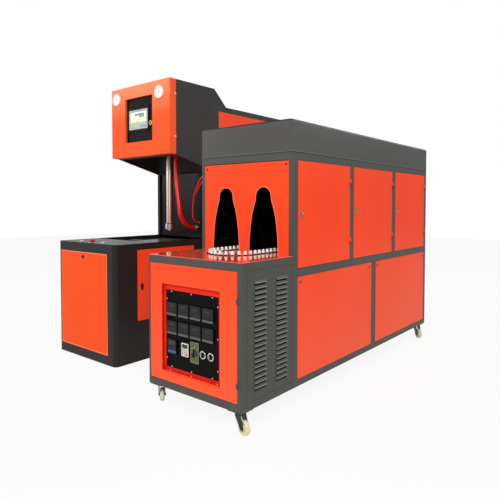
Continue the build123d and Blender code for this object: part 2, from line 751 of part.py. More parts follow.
with BuildPart() as bed_cabinet:
    with BuildSketch(Plane.XY):
        bed_outline(0)
    extrude(amount=bed_top)
    with BuildSketch(Plane.XY.offset(wall)):
        bed_outline(wall)
    extrude(amount=bed_top - wall, mode=Mode.SUBTRACT)
    block(bw_x0 - skin, bw_x1 + skin, bed_y + wall, bed_y + flange_depth, bw_z0 - skin, bw_z1 + skin)
    block(bw_x0, bw_x1, bed_y, bed_y + flange_depth, bw_z0, bw_z1, Mode.SUBTRACT)
    along_x(bed_y + tilt_inset, bw_z0 + door_gap + tilt_inset, bw_x0 - tilt_pin - 0.5, bw_x1 + tilt_pin + 0.5,
            tilt_pin + fit, Mode.SUBTRACT)
    block(bed_right - flange_depth, bed_right - wall, sw_y0 - skin, sw_y1 + skin, sw_z0 - skin, sw_z1 + skin)
    block(bed_right - flange_depth, bed_right, sw_y0, sw_y1, sw_z0, sw_z1, Mode.SUBTRACT)
    for z in bed_hinge_heights:
        axis_y = sw_y1 - door_gap / 2
        side_hinge_half(bed_right, axis_y, axis_y + hinge_leaf, z - hinge_length, False)
save(bed_cabinet, "bed_cabinet")

# Bed front panel: tilts forward on two pins at its foot, held by one lock at the middle of its top.
with BuildPart() as bed_front_panel:
    front_tray(bed_y, bw_x0 + door_gap, bw_x1 - door_gap, bw_z0 + door_gap, bw_z1 - door_gap)
    for x in (bw_x0 - tilt_pin, bw_x1 - door_gap - skin):
        along_x(bed_y + tilt_inset, bw_z0 + door_gap + tilt_inset, x, x + tilt_pin + door_gap + skin, tilt_pin)
    along_y((bw_x0 + bw_x1) / 2, bed_lock_z, bed_y, bed_y + skin, lock_shaft + fit, Mode.SUBTRACT)
save(bed_front_panel, "bed_front_panel")

with BuildPart() as bed_front_lock:
    x = (bw_x0 + bw_x1) / 2
    face = bed_y - fit
    along_y(x, bed_lock_z, face, face + skin + 1, lock_shaft)
    with BuildSketch(Plane.XZ.offset(-face)):
        with Locations((x, bed_lock_z)):
            Circle(lock_radius + 3)
    extrude(amount=lock_proud, taper=12)
    block(x - 5, x + 5, face - lock_proud, face - lock_proud + 1.5, bed_lock_z - 1.2, bed_lock_z + 1.2,
          Mode.SUBTRACT)
    block(x - cam_width / 2, x + cam_width / 2, face + skin + 1, face + skin + 1 + cam_thick,
          bed_lock_z - cam_width / 2, bed_lock_z + cam_length)
save(bed_front_lock, "bed_front_lock")

# Bed side door: hinged on its rear edge, with its lock near the front edge.
with BuildPart() as bed_side_door:
    side_tray(bed_right, sw_y0 + door_gap, sw_y1 - door_gap, sw_z0 + door_gap, sw_z1 - door_gap)
    for z in bed_hinge_heights:
        side_hinge_half(bed_right, sw_y1 - door_gap / 2, sw_y1 - door_gap - hinge_leaf, z + hinge_lift, True)
    along_x(sw_y0 + door_gap + lock_inset, bed_side_lock_z, bed_right - skin, bed_right, lock_shaft + fit,
            Mode.SUBTRACT)
save(bed_side_door, "bed_side_door")

with BuildPart() as bed_side_lock:
    side_lock(bed_right + fit, sw_y0 + door_gap + lock_inset, bed_side_lock_z)
save(bed_side_lock, "bed_side_lock")

# Bed deck: the top sheet, with the mould well cut through it and raised collars for the push buttons.
well_front = 341.0
well_left = 20.0
well_right = 50.0
well_back = 10.0
button_shift = 22.0
button_pitch = 133.0
button_back = 48.0
button_radius = 12.0
button_play = 0.3
button_stem = 7.0
button_travel = 4.0
collar_width = 4.0
collar_height = 4.0
stop_radius = 20.0
stop_stem = 11.0
stop_travel = 5.0
button_x = bed_mid + button_shift
button_y = bed_y + button_back
start_places = (button_x - button_pitch, button_x + button_pitch)

with BuildPart() as bed_deck:
    with BuildSketch(Plane.XY.offset(bed_top)):
        bed_outline(0)
        area(bed_left + well_left, bed_right - well_right, bed_y + well_front, column_y - well_back, Mode.SUBTRACT)
    extrude(amount=deck_sheet)
    for x in start_places:
        upright(x, button_y, bed_height, bed_height + collar_height, button_radius + collar_width)
        upright(x, button_y, bed_height, bed_height + collar_height, button_radius + button_play, Mode.SUBTRACT)
        upright(x, button_y, bed_top, bed_height, button_stem + button_play, Mode.SUBTRACT)
    upright(button_x, button_y, bed_height, bed_height + collar_height, stop_stem + 6)
    upright(button_x, button_y, bed_top, bed_height + collar_height, stop_stem + button_play, Mode.SUBTRACT)
save(bed_deck, "bed_deck")

# Push buttons: domed caps on stems, and the mushroom-headed emergency stop between them.
for number, x in enumerate(start_places, start=1):
    with BuildPart() as start_button:
        seat = bed_height + button_travel + 0.5
        upright(x, button_y, bed_top - 14, seat, button_stem)
        upright(x, button_y, seat, seat + 6, button_radius)
        fillet(start_button.edges().group_by(Axis.Z)[-1], radius=2.5)
    save(start_button, f"start_button_{number}")

with BuildPart() as emergency_stop:
    seat = bed_height + collar_height + stop_travel + 1
    upright(button_x, button_y, bed_top - 14, seat, stop_stem)
    upright(button_x, button_y, seat, seat + 14, stop_radius)
    fillet(emergency_stop.edges().group_by(Axis.Z)[-1], radius=5)
save(emergency_stop, "emergency_stop")

# Column: the tall rear cabinet, with a window in each side for its inset panel
# and a front wall set back between the side walls.
column_panel_margin = 49.0
column_panel_bottom = 900.0
column_panel_top = column_height - 45.0
front_setback = 18.0

with BuildPart() as column_shell:
    block(bed_left, bed_right, column_y, bed_rear, bed_height, column_height)
    block(bed_left + wall, bed_right - wall, column_y + front_setback + wall, bed_rear - wall,
          bed_height, column_height - wall, Mode.SUBTRACT)
    block(bed_left + flange_depth, bed_right - flange_depth, column_y, column_y + front_setback,
          bed_height, column_height - wall, Mode.SUBTRACT)
    for x in (bed_left, bed_right - flange_depth):
        block(x, x + flange_depth, column_y + column_panel_margin - skin, bed_rear - column_panel_margin + skin,
              column_panel_bottom - skin, column_panel_top + skin)
        block(x, x + flange_depth, column_y + column_panel_margin, bed_rear - column_panel_margin,
              column_panel_bottom, column_panel_top, Mode.SUBTRACT)
save(column_shell, "column_shell")

with BuildPart() as column_panels:
    y0 = column_y + column_panel_margin + panel_gap
    y1 = bed_rear - column_panel_margin - panel_gap
    z0 = column_panel_bottom + panel_gap
    z1 = column_panel_top - panel_gap
    side_tray(bed_right, y0, y1, z0, z1)
    block(bed_left, bed_left + door_depth, y0, y1, z0, z1)
    block(bed_left + skin, bed_left + door_depth, y0 + skin, y1 - skin, z0 + skin, z1 - skin, Mode.SUBTRACT)
save(column_panels, "column_panels")

# Head: a sheet-metal box that reaches forward from the column, sloping at the back of its top
# and along its underside, which is open inside a folded flange for the piston and the hose.
collar_depth = 63.0
head_floor_front = head_height - 567.0
head_floor_back = head_height - 678.0
head_slope_start = 1221.0
head_slope_end = 1367.0
head_base_y = head_y + collar_depth
blow_x = bed_mid
blow_y = front_y + 1050.0
bush_radius = 44.0
hose_shift = 82.0
fitting_radius = 21.0
fitting_bottom = head_height - 497.0
floor_flange = 22.0


with BuildPart() as head_box:
    with BuildSketch(Plane.YZ.offset(bed_left)):
        Polygon(
            (head_base_y, head_floor_front),
            (column_y, head_floor_back),
            (column_y, column_height),
            (front_y + head_slope_end, column_height),
            (front_y + head_slope_start, head_height),
            (head_base_y, head_height),
            align=None,
        )
    extrude(amount=blower_width)
    offset(amount=-skin, openings=head_box.faces().sort_by(Axis.Y)[0])
    block(bed_left + floor_flange, bed_right - floor_flange, head_base_y + floor_flange, column_y - floor_flange,
          head_floor_back - 10, head_floor_front + 10, Mode.SUBTRACT)
save(head_box, "head_box")

# Head collar: the orange shell round the front of the head, with a flange that the head door closes on.
head_bottom = head_height - 564.0
head_hinge_heights = (head_height - 433.0, head_height - 101.0)
head_plate = 3.0
collar_flange = 20.0

with BuildPart() as head_collar:
    y0 = head_y + head_plate + hinge_lift
    block(bed_left, bed_right, y0, head_base_y, head_bottom, head_height)
    block(bed_left + skin, bed_right - skin, y0 + skin, head_base_y, head_bottom + skin, head_height - skin,
          Mode.SUBTRACT)
    block(bed_left + collar_flange, bed_right - collar_flange, y0, y0 + skin, head_bottom + collar_flange,
          head_height - collar_flange, Mode.SUBTRACT)
    for z in head_hinge_heights:
        upright(bed_right + hinge_lift + hinge_radius, head_y + 1, z - hinge_length, z, hinge_radius)
        block(bed_right, bed_right + hinge_lift + skin, y0, y0 + hinge_leaf, z - hinge_length, z)
        upright(bed_right + hinge_lift + hinge_radius, head_y + 1, z - hinge_length * 2 / 3, z, hinge_pin + fit,
                Mode.SUBTRACT)
save(head_collar, "head_collar")

# Head door: a plate hinged on its right edge, with a recess for the operator panel and two gauge holes.
screen_recess = (180.0, 519.0, head_height - 449.0, head_height - 97.0)
screen_depth = 20.0
gauge_places = ((bed_left + 77.0, head_height - 85.0), (bed_right - 110.0, head_height - 93.0))
gauge_radius = 50.0
gauge_back = 38.0
hw_x0 = bed_left + screen_recess[0]
hw_x1 = bed_left + screen_recess[1]
hw_z0 = screen_recess[2]
hw_z1 = screen_recess[3]

with BuildPart() as head_door:
    block(bed_left, bed_right, head_y, head_y + head_plate, head_bottom, head_height)
    block(hw_x0 - skin, hw_x1 + skin, head_y, head_y + screen_depth, hw_z0 - skin, hw_z1 + skin)
    block(hw_x0, hw_x1, head_y, head_y + screen_depth, hw_z0, hw_z1, Mode.SUBTRACT)
    for x, z in gauge_places:
        along_y(x, z, head_y, head_y + head_plate, gauge_back + fit, Mode.SUBTRACT)
    for z in head_hinge_heights:
        x = bed_right + hinge_lift + hinge_radius
        upright(x, head_y + 1, z + hinge_lift, z + hinge_lift + hinge_length, hinge_radius)
        block(bed_right - hinge_leaf, x, head_y - skin, head_y, z + hinge_lift, z + hinge_lift + hinge_length)
        upright(x, head_y + 1, z + hinge_lift - hinge_length / 2, z + hinge_lift, hinge_pin)
save(head_door, "head_door")

# Operator panel: a plate behind the recess that carries the touch screen's housing and one key ring.
screen_x = bed_left + 333.0
screen_z = head_height - 267.0
screen_width = 262.0
screen_height = 204.0

with BuildPart() as hmi_panel:
    y = head_y + screen_depth
    block(hw_x0 - plate_lap, hw_x1 + plate_lap, y, y + panel_sheet, hw_z0 - plate_lap, hw_z1 + plate_lap)
    block(screen_x - screen_width / 2, screen_x + screen_width / 2, y - 6, y + 45,
          screen_z - screen_height / 2, screen_z + screen_height / 2)
    block(screen_x - screen_width / 2 + 16, screen_x + screen_width / 2 - 16, y - 6, y - 4,
          screen_z - screen_height / 2 + 16, screen_z + screen_height / 2 - 16, Mode.SUBTRACT)
    along_y(hw_x1 - 38, screen_z - 44, y - 5, y, 15)
save(hmi_panel, "hmi_panel")

# Pressure gauges: stepped round cases, the wide bezel in front of the door and the body behind it.
with BuildPart() as pressure_gauges:
    for x, z in gauge_places:
        along_y(x, z, head_y - 12, head_y, gauge_radius)
        along_y(x, z, head_y - 12, head_y - 9, gauge_radius - 5, Mode.SUBTRACT)
        along_y(x, z, head_y, head_y + 32, gauge_back)
        along_y(x, z, head_y + 32, head_y + 50, 9)
save(pressure_gauges, "pressure_gauges")

# Blow cylinder: a long bush through the head's underside, on a plate across the head.
piston_radius = 28.0
bush_bottom = head_height - 527.0
bush_top = head_height - 427.0
cross_plate_z = head_height - 467.0
cross_plate = 12.0
cross_plate_half = 80.0
rod_radius = 8.0
rod_play = 0.3

with BuildPart() as blow_cylinder:
    upright(blow_x, blow_y, bush_bottom, bush_top, bush_radius - hinge_lift)
    block(bed_left + skin, bed_right - skin, blow_y - cross_plate_half, blow_y + cross_plate_half,
          cross_plate_z, cross_plate_z + cross_plate)
    upright(blow_x, blow_y, bush_bottom, bush_top, piston_radius + fit, Mode.SUBTRACT)
    upright(blow_x + hose_shift, blow_y, fitting_bottom, cross_plate_z, fitting_radius)
save(blow_cylinder, "blow_cylinder")

# Blow piston: a hollow chromed rod with the sealing nozzle at its foot.
nozzle_bottom = 900.0
blow_travel = 84.0

with BuildPart() as blow_piston:
    with BuildSketch(Plane.XZ.offset(-blow_y)):
        with Locations((blow_x, 0)):
            Polygon(
                (rod_radius + rod_play, nozzle_bottom),
                (20, nozzle_bottom),
                (25, nozzle_bottom + 12),
                (38, nozzle_bottom + 12),
                (38, nozzle_bottom + 52),
                (piston_radius, nozzle_bottom + 62),
                (piston_radius, bush_top),
                (rod_radius + rod_play, bush_top),
                align=None,
            )
    revolve(axis=Axis((blow_x, blow_y, 0), (0, 0, 1)))
save(blow_piston, "blow_piston")

# Stretch rod: slides down through the piston into the preform.
rod_tip = 905.0
rod_top = head_height - 67.0
stretch_travel = 340.0

with BuildPart() as stretch_rod:
    upright(blow_x, blow_y, rod_tip, rod_top, rod_radius)
    upright(blow_x, blow_y, rod_top, rod_top + 20, 24)
save(stretch_rod, "stretch_rod")

# Clamp: two plates joined by four tie bars, with the clamp cylinder on the front plate
# and one mould half on the rear plate. The other half rides on the moving platen.
mould_width = 360.0
mould_thick = 140.0
mould_bottom = 430.0
mould_top = 815.0
mould_gap = 0.3
platen_half = 330.0
platen_thick = 50.0
clamp_stroke = 230.0
clamp_room = 12.0
tie_x = 290.0
tie_heights = (500.0, 765.0)
tie_radius = 20.0
ram_radius = 30.0
ram_z = 632.0
barrel_radius = 75.0
barrel_bore = 62.0
barrel_length = 242.0
platen_foot = 470.0
leg_width = 90.0
front_plate = 45.0
cavity_radius = 105.0
neck_radius = 24.0

parting_y = blow_y
moving_y = parting_y - mould_gap - mould_thick - platen_thick
front_plate_y = moving_y - clamp_stroke - clamp_room - front_plate
rear_plate_y = parting_y + mould_thick


def clamp_plate(y0, thick):
    """A cross plate that stands on the bed's floor on two legs."""
    block(bed_mid - platen_half, bed_mid + platen_half, y0, y0 + thick, wall, mould_top)
    block(bed_mid - platen_half + leg_width, bed_mid + platen_half - leg_width, y0, y0 + thick,
          wall, mould_bottom - 90, Mode.SUBTRACT)


def cavity():
    """Cuts the bottle's shape round the blow axis out of the mould half being built."""
    upright(blow_x, blow_y, mould_bottom + 50, mould_bottom + 250, cavity_radius, Mode.SUBTRACT)
    with Locations((blow_x, blow_y, mould_bottom + 285)):
        Cone(cavity_radius, neck_radius, 70, mode=Mode.SUBTRACT)
    upright(blow_x, blow_y, mould_bottom + 320, mould_top, neck_radius, Mode.SUBTRACT)


with BuildPart() as clamp_frame:
    clamp_plate(front_plate_y, front_plate)
    clamp_plate(rear_plate_y, platen_thick)
    for x in (bed_mid - tie_x, bed_mid + tie_x):
        for z in tie_heights:
            along_y(x, z, front_plate_y - 20, rear_plate_y + platen_thick + 20, tie_radius)
    along_y(bed_mid, ram_z, front_plate_y - barrel_length, front_plate_y, barrel_radius)
    along_y(bed_mid, ram_z, front_plate_y - barrel_length + 12, front_plate_y, barrel_bore, Mode.SUBTRACT)
    along_y(bed_mid, ram_z, front_plate_y, front_plate_y + front_plate, ram_radius + fit, Mode.SUBTRACT)
    block(bed_mid - mould_width / 2, bed_mid + mould_width / 2, parting_y, rear_plate_y, mould_bottom, mould_top)
    cavity()
save(clamp_frame, "clamp_frame")

with BuildPart() as moving_mould:
    block(bed_mid - platen_half, bed_mid + platen_half, moving_y, moving_y + platen_thick, platen_foot - 20, mould_top)
    for x in (bed_mid - tie_x, bed_mid + tie_x):
        for z in tie_heights:
            along_y(x, z, moving_y, moving_y + platen_thick, tie_radius + fit, Mode.SUBTRACT)
    block(bed_mid - mould_width / 2, bed_mid + mould_width / 2, moving_y + platen_thick,
          parting_y - mould_gap, mould_bottom, mould_top)
    cavity()
    along_y(bed_mid, ram_z, front_plate_y + 3, moving_y, ram_radius)
save(moving_mould, "moving_mould")

# Hoses: one thick hose from the head's underside to the column, and two thin ones beside it.
# Each route is straight runs joined by the largest arcs that its runs allow.
hose_radius = 18.0
thin_radius = 6.0
column_front = column_y + front_setback


def hose(points, radius, name):
    """A round hose along a route, its bends as large as the runs allow."""
    corners = []
    for before, here, after in zip(points, points[1:], points[2:]):
        first = Vector(*here) - Vector(*before)
        second = Vector(*after) - Vector(*here)
        turn = radians(first.get_angle(second))
        corners.append(0.45 * min(first.length, second.length) / tan(turn / 2))
    print(name, "radii", [round(r, 1) for r in corners])
    with BuildPart() as tube:
        with BuildLine() as path:
            FilletPolyline(*points, radius=corners)
        with BuildSketch(Plane(path.line @ 0, z_dir=path.line % 0)):
            Circle(radius)
        sweep(path=path.line)
    save(tube, name)


hose_end = 919.0
hose_fall = (fitting_bottom - hose_end) / 651.0
hose([(blow_x + x, blow_y + y, hose_end + z * hose_fall) for x, y, z in (
    (hose_shift, 0, 651),
    (hose_shift, 0, 520),
    (87, 0, 400),
    (104, 0, 281),
    (119, 0, 193),
    (130, 0, 112),
    (136, 41, 41),
    (140, 112, 0),
)] + [(blow_x + 140, column_front, hose_end)], hose_radius, "main_hose")
thin_end = 961.0
thin_fall = (head_floor_back - 15.0 - thin_end) / 413.0
thin_routes = (
    [(-81, 35, 1374), (-89, 67, 1358), (-103, 85, 1330), (-136, 86, 1276), (-183, 84, 1186), (-191, 84, 1105),
     (-194, 84, 1055), (-192, 84, 1010), (-192, 66, 979), (-192, 35, 961)],
    [(-100, 28, 1325), (-106.5, 54, 1312), (-118, 68.6, 1290), (-146, 68.6, 1243), (-186, 68.6, 1200),
     (-203, 68.6, 1130), (-208, 68.6, 1060), (-208, 68.6, 1006), (-208, 53.5, 981), (-208, 28.4, 966.4)],
)
for number, route in enumerate(thin_routes, start=1):
    middle = [(bed_right + x, column_front - out, thin_end + (z - thin_end) * thin_fall) for x, out, z in route]
    start = (middle[0][0], column_front, middle[0][2])
    finish = (middle[-1][0], column_front, middle[-1][2])
    hose([start] + middle + [finish], thin_radius, f"thin_hose_{number}")
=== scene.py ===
import math
import bpy
import numpy as np
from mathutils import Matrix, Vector


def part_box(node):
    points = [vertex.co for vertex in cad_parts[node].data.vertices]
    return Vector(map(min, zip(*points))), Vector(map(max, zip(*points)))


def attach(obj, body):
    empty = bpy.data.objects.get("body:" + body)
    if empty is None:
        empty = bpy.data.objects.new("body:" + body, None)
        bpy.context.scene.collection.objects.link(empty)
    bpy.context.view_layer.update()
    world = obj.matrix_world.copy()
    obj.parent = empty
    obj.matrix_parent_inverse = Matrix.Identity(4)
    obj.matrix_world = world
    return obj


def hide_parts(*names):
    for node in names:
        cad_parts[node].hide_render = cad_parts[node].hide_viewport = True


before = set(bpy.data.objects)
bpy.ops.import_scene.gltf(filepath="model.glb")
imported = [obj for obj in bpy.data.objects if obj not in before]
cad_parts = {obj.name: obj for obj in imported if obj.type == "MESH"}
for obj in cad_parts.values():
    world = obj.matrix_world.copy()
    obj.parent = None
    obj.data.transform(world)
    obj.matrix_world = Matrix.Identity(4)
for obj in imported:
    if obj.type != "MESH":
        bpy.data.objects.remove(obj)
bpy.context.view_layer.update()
print("frame loaded:", len(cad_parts), "nodes")

# the machine's main lines in metres; "behind" is measured from the heater's front
layout = {"heaterLong": 2.4, "ovenBehind": 0.424, "bedWide": 0.72, "headBehind": 0.734,
          "columnBehind": 1.244, "blowBehind": 1.05}
hoodLow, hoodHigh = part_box("hood")
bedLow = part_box("bed_cabinet")[0]
leftX, rightX, rearY = hoodLow[0], hoodHigh[0], hoodHigh[1]
midX = (leftX + rightX) / 2
frontY = rearY - layout["heaterLong"]
ovenY = frontY + layout["ovenBehind"]
bedLeft, bedY = bedLow[0], bedLow[1]
bedRight = bedLeft + layout["bedWide"]
bedMid = (bedLeft + bedRight) / 2
headY = frontY + layout["headBehind"]
columnY = frontY + layout["columnBehind"]
blowY = frontY + layout["blowBehind"]

# start and end of the heater's doors and low panels, measured from its front
ovenDoors = ((0.474, 1.067), (1.115, 1.714), (1.768, 2.36))
lowPanels = ((0.474, 1.382), (1.446, 2.36))


def colour(red, green, blue):
    # display values from 0 to 255 in linear light: above 0.04045 it is ((c + 0.055) / 1.055) to the 2.4
    values = np.array([red, green, blue]) / 255.0
    linear = np.where(values > 0.04045, ((values + 0.055) / 1.055) ** 2.4, values / 12.92)
    return (*[float(v) for v in linear], 1.0)


def darker(tone, share):
    # the same tone with its light cut to a share
    return tuple(c * share for c in tone[:3]) + (1.0,)


class Wire:
    # one socket of a material; arithmetic and comparisons on it add Math nodes, also in the form 1 - wire
    def __init__(self, shade, socket):
        self.shade, self.socket = shade, socket

    def sums(self, how, *values):
        return self.shade.add("Math", dict(enumerate(values)), operation=how)

    def __add__(self, other):
        return self.sums("ADD", self, other)

    def __sub__(self, other):
        return self.sums("SUBTRACT", self, other)

    def __rsub__(self, other):
        return self.sums("SUBTRACT", other, self)

    def __mul__(self, other):
        return self.sums("MULTIPLY", self, other)

    def __gt__(self, other):
        return self.sums("GREATER_THAN", self, other)

    def __lt__(self, other):
        return self.sums("LESS_THAN", self, other)

    def fract(self):
        return self.sums("FRACT", self)

    __radd__, __rmul__ = __add__, __mul__


class Shade:
    # a material or a world being written; add() places any node and gives back one of its outputs
    def __init__(self, name, world=None, **fixed):
        self.owner = world or bpy.data.materials.new(name)
        self.owner.use_nodes = True
        self.nodes = self.owner.node_tree.nodes
        self.links = self.owner.node_tree.links
        self.surface = self.nodes["Background" if world else "Principled BSDF"]
        for socket, value in fixed.items():
            self.surface.inputs[socket.replace("_", " ")].default_value = value

    def add(self, kind, sockets, output=0, **settings):
        node = self.nodes.new("ShaderNode" + kind)
        for key, value in settings.items():
            setattr(node, key, value)
        for key, value in sockets.items():
            if isinstance(value, Wire):
                self.links.new(value.socket, node.inputs[key])
            else:
                node.inputs[key].default_value = value
        return Wire(self, node.outputs[output])

    def feed(self, **sockets):
        for name, wire in sockets.items():
            self.links.new(wire.socket, self.surface.inputs[name.replace("_", " ")])

    def place(self):
        return self.add("TexCoord", {}, "Object")

    def axis(self, name):
        return self.add("SeparateXYZ", {0: self.place()}, name)

    def noise(self, scale, detail=2.0, stretch=(1, 1, 1)):
        at = self.place()
        if stretch != (1, 1, 1):
            at = self.add("Mapping", {"Vector": at, "Scale": stretch})
        return self.add("TexNoise", {"Vector": at, "Scale": scale, "Detail": detail}, "Fac")

    def mix(self, share, first, second):
        return self.add("Mix", {0: share, 6: first, 7: second}, 2, data_type="RGBA")

    def ramp(self, value, low, high):
        return self.add("MapRange", {"Value": value, "From Min": low, "From Max": high})

    def bump(self, value, depth, strength=1.0):
        return self.add("Bump", {"Height": value, "Distance": depth, "Strength": strength})

    def ray(self, kind):
        return self.add("LightPath", {}, "Is %s Ray" % kind)


# scales of the patterns in a sprayed finish, and how strongly each shows;
# paleTop and paleFoot are the heights where the painted light towards the floor begins and where it is full
spray = {"drift": 1.6, "driftShare": 0.6, "dust": 26.0, "dustShare": 0.45, "dustTop": 0.3, "dustFoot": 0.02,
         "paleTop": 0.95, "paleFoot": 0.1, "rubbed": 7.0, "peel": 420.0}


def enamel(name, base, dustAndLitTone, roughness=0.42, specular=0.1, coat=0.0, peel=0.00004, pale=0.0, steps=(),
           litTop=None, shadedTop=None):
    # sprayed enamel: slow drift in colour, a fine orange-peel relief, rubbed patches, dust towards the floor, and
    # with pale painted light that turns it paler towards the floor; steps give painted shade, another tone behind
    # a depth; the next two options give a paler front towards the top as painted light and a darker top edge and
    # top as painted shade
    base, dustAndLitTone = colour(*base), colour(*dustAndLitTone)
    shade = Shade(name, Metallic=0.0, Coat_Weight=coat, Coat_Roughness=0.06, Specular_IOR_Level=specular)
    drift = shade.ramp(shade.noise(spray["drift"], 3.0), 0.35, 0.65)
    tone = shade.mix(drift * spray["driftShare"], base, darker(base, 0.9))
    low = shade.ramp(shade.axis("Z"), spray["dustTop"], spray["dustFoot"])
    dust = shade.ramp(shade.noise(spray["dust"], 5.0), 0.4, 0.85) * low * spray["dustShare"]
    # painted light: the tone turns paler towards the floor, by the share pale
    if pale:
        fade = shade.ramp(shade.axis("Z"), spray["paleTop"], spray["paleFoot"])
        tone = shade.mix(fade * pale, tone, dustAndLitTone)
    # painted shade: each step gives the faces behind a depth and inside a box a darker tone
    for depth, box, inner in steps:
        behind = (shade.axis("Y") > depth) * (shade.axis("X") > box[0]) * (shade.axis("X") < box[1])
        tone = shade.mix(behind * (shade.axis("Z") > box[2]) * (shade.axis("Z") < box[3]), tone, inner)
    # painted light: the faces before a depth turn paler from foot to head
    if litTop:
        depth, foot, head, light = litTop
        tone = shade.mix((shade.axis("Y") < depth) * shade.ramp(shade.axis("Z"), foot, head), tone, light)
    # painted shade: the top edge, and the top above it, darker
    if shadedTop:
        tone = shade.mix(shade.ramp(shade.axis("Z"), shadedTop - 0.0075, shadedTop - 0.0055), tone, darker(base, 0.35))
    shade.feed(Base_Color=shade.mix(dust, tone, dustAndLitTone))
    rubbed = shade.ramp(shade.noise(spray["rubbed"], 4.0, (1, 1, 0.4)), 0.3, 0.75)
    shade.feed(Roughness=rubbed * 0.07 + dust * 0.25 + (roughness - 0.03))
    shade.feed(Normal=shade.bump(shade.noise(spray["peel"], 1.5), peel, 0.5))


def metal(name, base, roughness=0.25, grain=(1, 1, 14), relief=0.00004):
    # turned or brushed metal: fine lines across the grain, smudges in colour and roughness
    base = colour(*base)
    shade = Shade(name, Metallic=1.0)
    lines = shade.noise(260.0, 3.0, grain)
    smudge = shade.ramp(shade.noise(14.0, 4.0), 0.35, 0.75)
    shade.feed(Base_Color=shade.mix(smudge * 0.5, base, darker(base, 0.72)))
    shade.feed(Roughness=smudge * 0.14 + lines * 0.08 + (roughness - 0.08))
    shade.feed(Normal=shade.bump(lines, relief, 0.35))


def moulded(name, base, roughness=0.38, grain=900.0, depth=0.00004, specular=0.35):
    # moulded plastic or rubber: a sparked texture, slight shine where fingers rub it
    base = colour(*base)
    shade = Shade(name, Specular_IOR_Level=specular)
    worn = shade.ramp(shade.noise(30.0, 4.0), 0.45, 0.7)
    lighter = tuple(min(1.0, c * 1.12 + 0.003) for c in base[:3]) + (1.0,)
    shade.feed(Base_Color=shade.mix(worn * 0.35, base, lighter))
    shade.feed(Roughness=roughness - worn * 0.08)
    shade.feed(Normal=shade.bump(shade.noise(grain, 1.0), depth, 0.5))


def glow(name, base, light, strength):
    # a lit segment: its own light varies a little along it
    base, light = colour(*base), colour(*light)
    shade = Shade(name, Roughness=0.35, Emission_Strength=strength)
    vary = shade.ramp(shade.noise(160.0, 1.0), 0.2, 0.8)
    shade.feed(Base_Color=shade.mix(vary, base, darker(base, 0.8)))
    shade.feed(Emission_Color=shade.mix(vary, light, darker(light, 0.75)))


# the control door's window: painted shade in its recess, a deeper red on the walls behind the front and a lighter
# one on the ledge
doorWindow = (rightX - 0.5675, rightX - 0.1375, 0.212, 0.6915)
doorLedge = doorWindow[:2] + (0.2325, 0.6915)
doorRecessShade = [(frontY + 0.0006, doorWindow, colour(196, 14, 2)),
             (frontY + 0.0152, doorLedge, colour(232, 42, 22))]
# the head's front paler towards its top, from 1.8 m to 2.03 m, as painted light
headLitTop = (headY + 0.0006, 1.8, 2.03, colour(255, 142, 96))
# the orange panels and the control door turn paler towards the floor as painted light
enamel("orangeEnamel", (255, 72, 30), (255, 106, 68), pale=0.55)
enamel("doorEnamel", (255, 72, 30), (255, 106, 68), pale=0.55, steps=doorRecessShade)
enamel("warmEnamel", (255, 82, 20), (255, 110, 60))
enamel("headOrange", (255, 92, 38), (255, 110, 60), 0.6, litTop=headLitTop)
# pale orange as painted highlight on the arch edges
enamel("edgeEnamel", (255, 150, 122), (255, 160, 130), 0.3, 0.3, peel=0.00002)
# pale orange as painted highlight on the bed panel's rim
enamel("rimEnamel", (255, 146, 112), (255, 160, 130), 0.3, 0.3, peel=0.00002)
enamel("tableEnamel", (255, 84, 50), (214, 130, 108), 0.14, 0.4, 0.5, 0.00002)
enamel("greyEnamel", (77, 78, 74), (112, 106, 96), 0.42, 0.12)
# the hood's top edge and top darker as painted shade
enamel("hoodEnamel", (78, 78, 76), (112, 108, 100), 0.4, 0.14, shadedTop=hoodHigh[2])
enamel("charcoalEnamel", (38, 38, 36), (58, 55, 52), 0.4, 0.14)
enamel("headEnamel", (66, 66, 65), (80, 78, 72), 0.72, 0.06)
enamel("deckEnamel", (15, 15, 15), (62, 60, 58), 0.17, 0.22, peel=0.00002)
enamel("blackSteel", (24, 24, 24), (82, 78, 72), 0.45, 0.28)
# near black: painted shade under the louvre lips and in the bed locks' slots, and the oven's blackened liner
enamel("sootedSheet", (14, 13, 12), (40, 36, 32), 0.7)
# near black tinted red: painted shade and painted reflection on the column's front wall
enamel("liningEnamel", (26, 16, 13), (44, 32, 28), 0.3, peel=0.00003)
enamel("casterEnamel", (20, 20, 16), (46, 43, 34), 0.34, 0.28, 0.1)
enamel("motorPaint", (62, 72, 84), (110, 108, 104), 0.4, 0.28)
# lighter grey as painted highlight on the louvre lips
enamel("bladeEnamel", (122, 123, 118), (130, 126, 118), 0.34, 0.28)
# lighter grey as painted highlight on the hood's lip
enamel("lipEnamel", (86, 88, 86), (120, 116, 108), 0.4, 0.28)
metal("oiledChain", (92, 90, 86), 0.38)
metal("groundSteel", (166, 166, 168), 0.28)
metal("machinedAluminium", (200, 201, 204), 0.3, (14, 1, 1))
metal("heatTintedSheet", (30, 27, 25), 0.5, (1, 14, 1), 0.00003)
metal("brightChrome", (226, 227, 228), 0.12, (1, 1, 1), 0.00001)
metal("hardChrome", (206, 196, 182), 0.32, (1, 1, 1), 0.0000005)
metal("agedBrass", (176, 140, 98), 0.28, (1, 1, 1), 0.00001)
metal("zincScrew", (232, 232, 228), 0.3, (1, 1, 1), 0.00002)
moulded("panelBlack", (9, 9, 8), 0.5, 900.0, 0.00002, 0.06)
moulded("instrumentCase", (16, 16, 16), 0.45, specular=0.1)
moulded("instrumentFace", (34, 35, 33), 0.3, 300.0, 0.00001, 0.14)
moulded("instrumentStrip", (90, 92, 90), 0.35, specular=0.15)
moulded("keyDark", (50, 52, 52), 0.35, specular=0.12)
moulded("keyGrey", (168, 166, 162), 0.35)
moulded("keypadWhite", (218, 214, 208), 0.35)
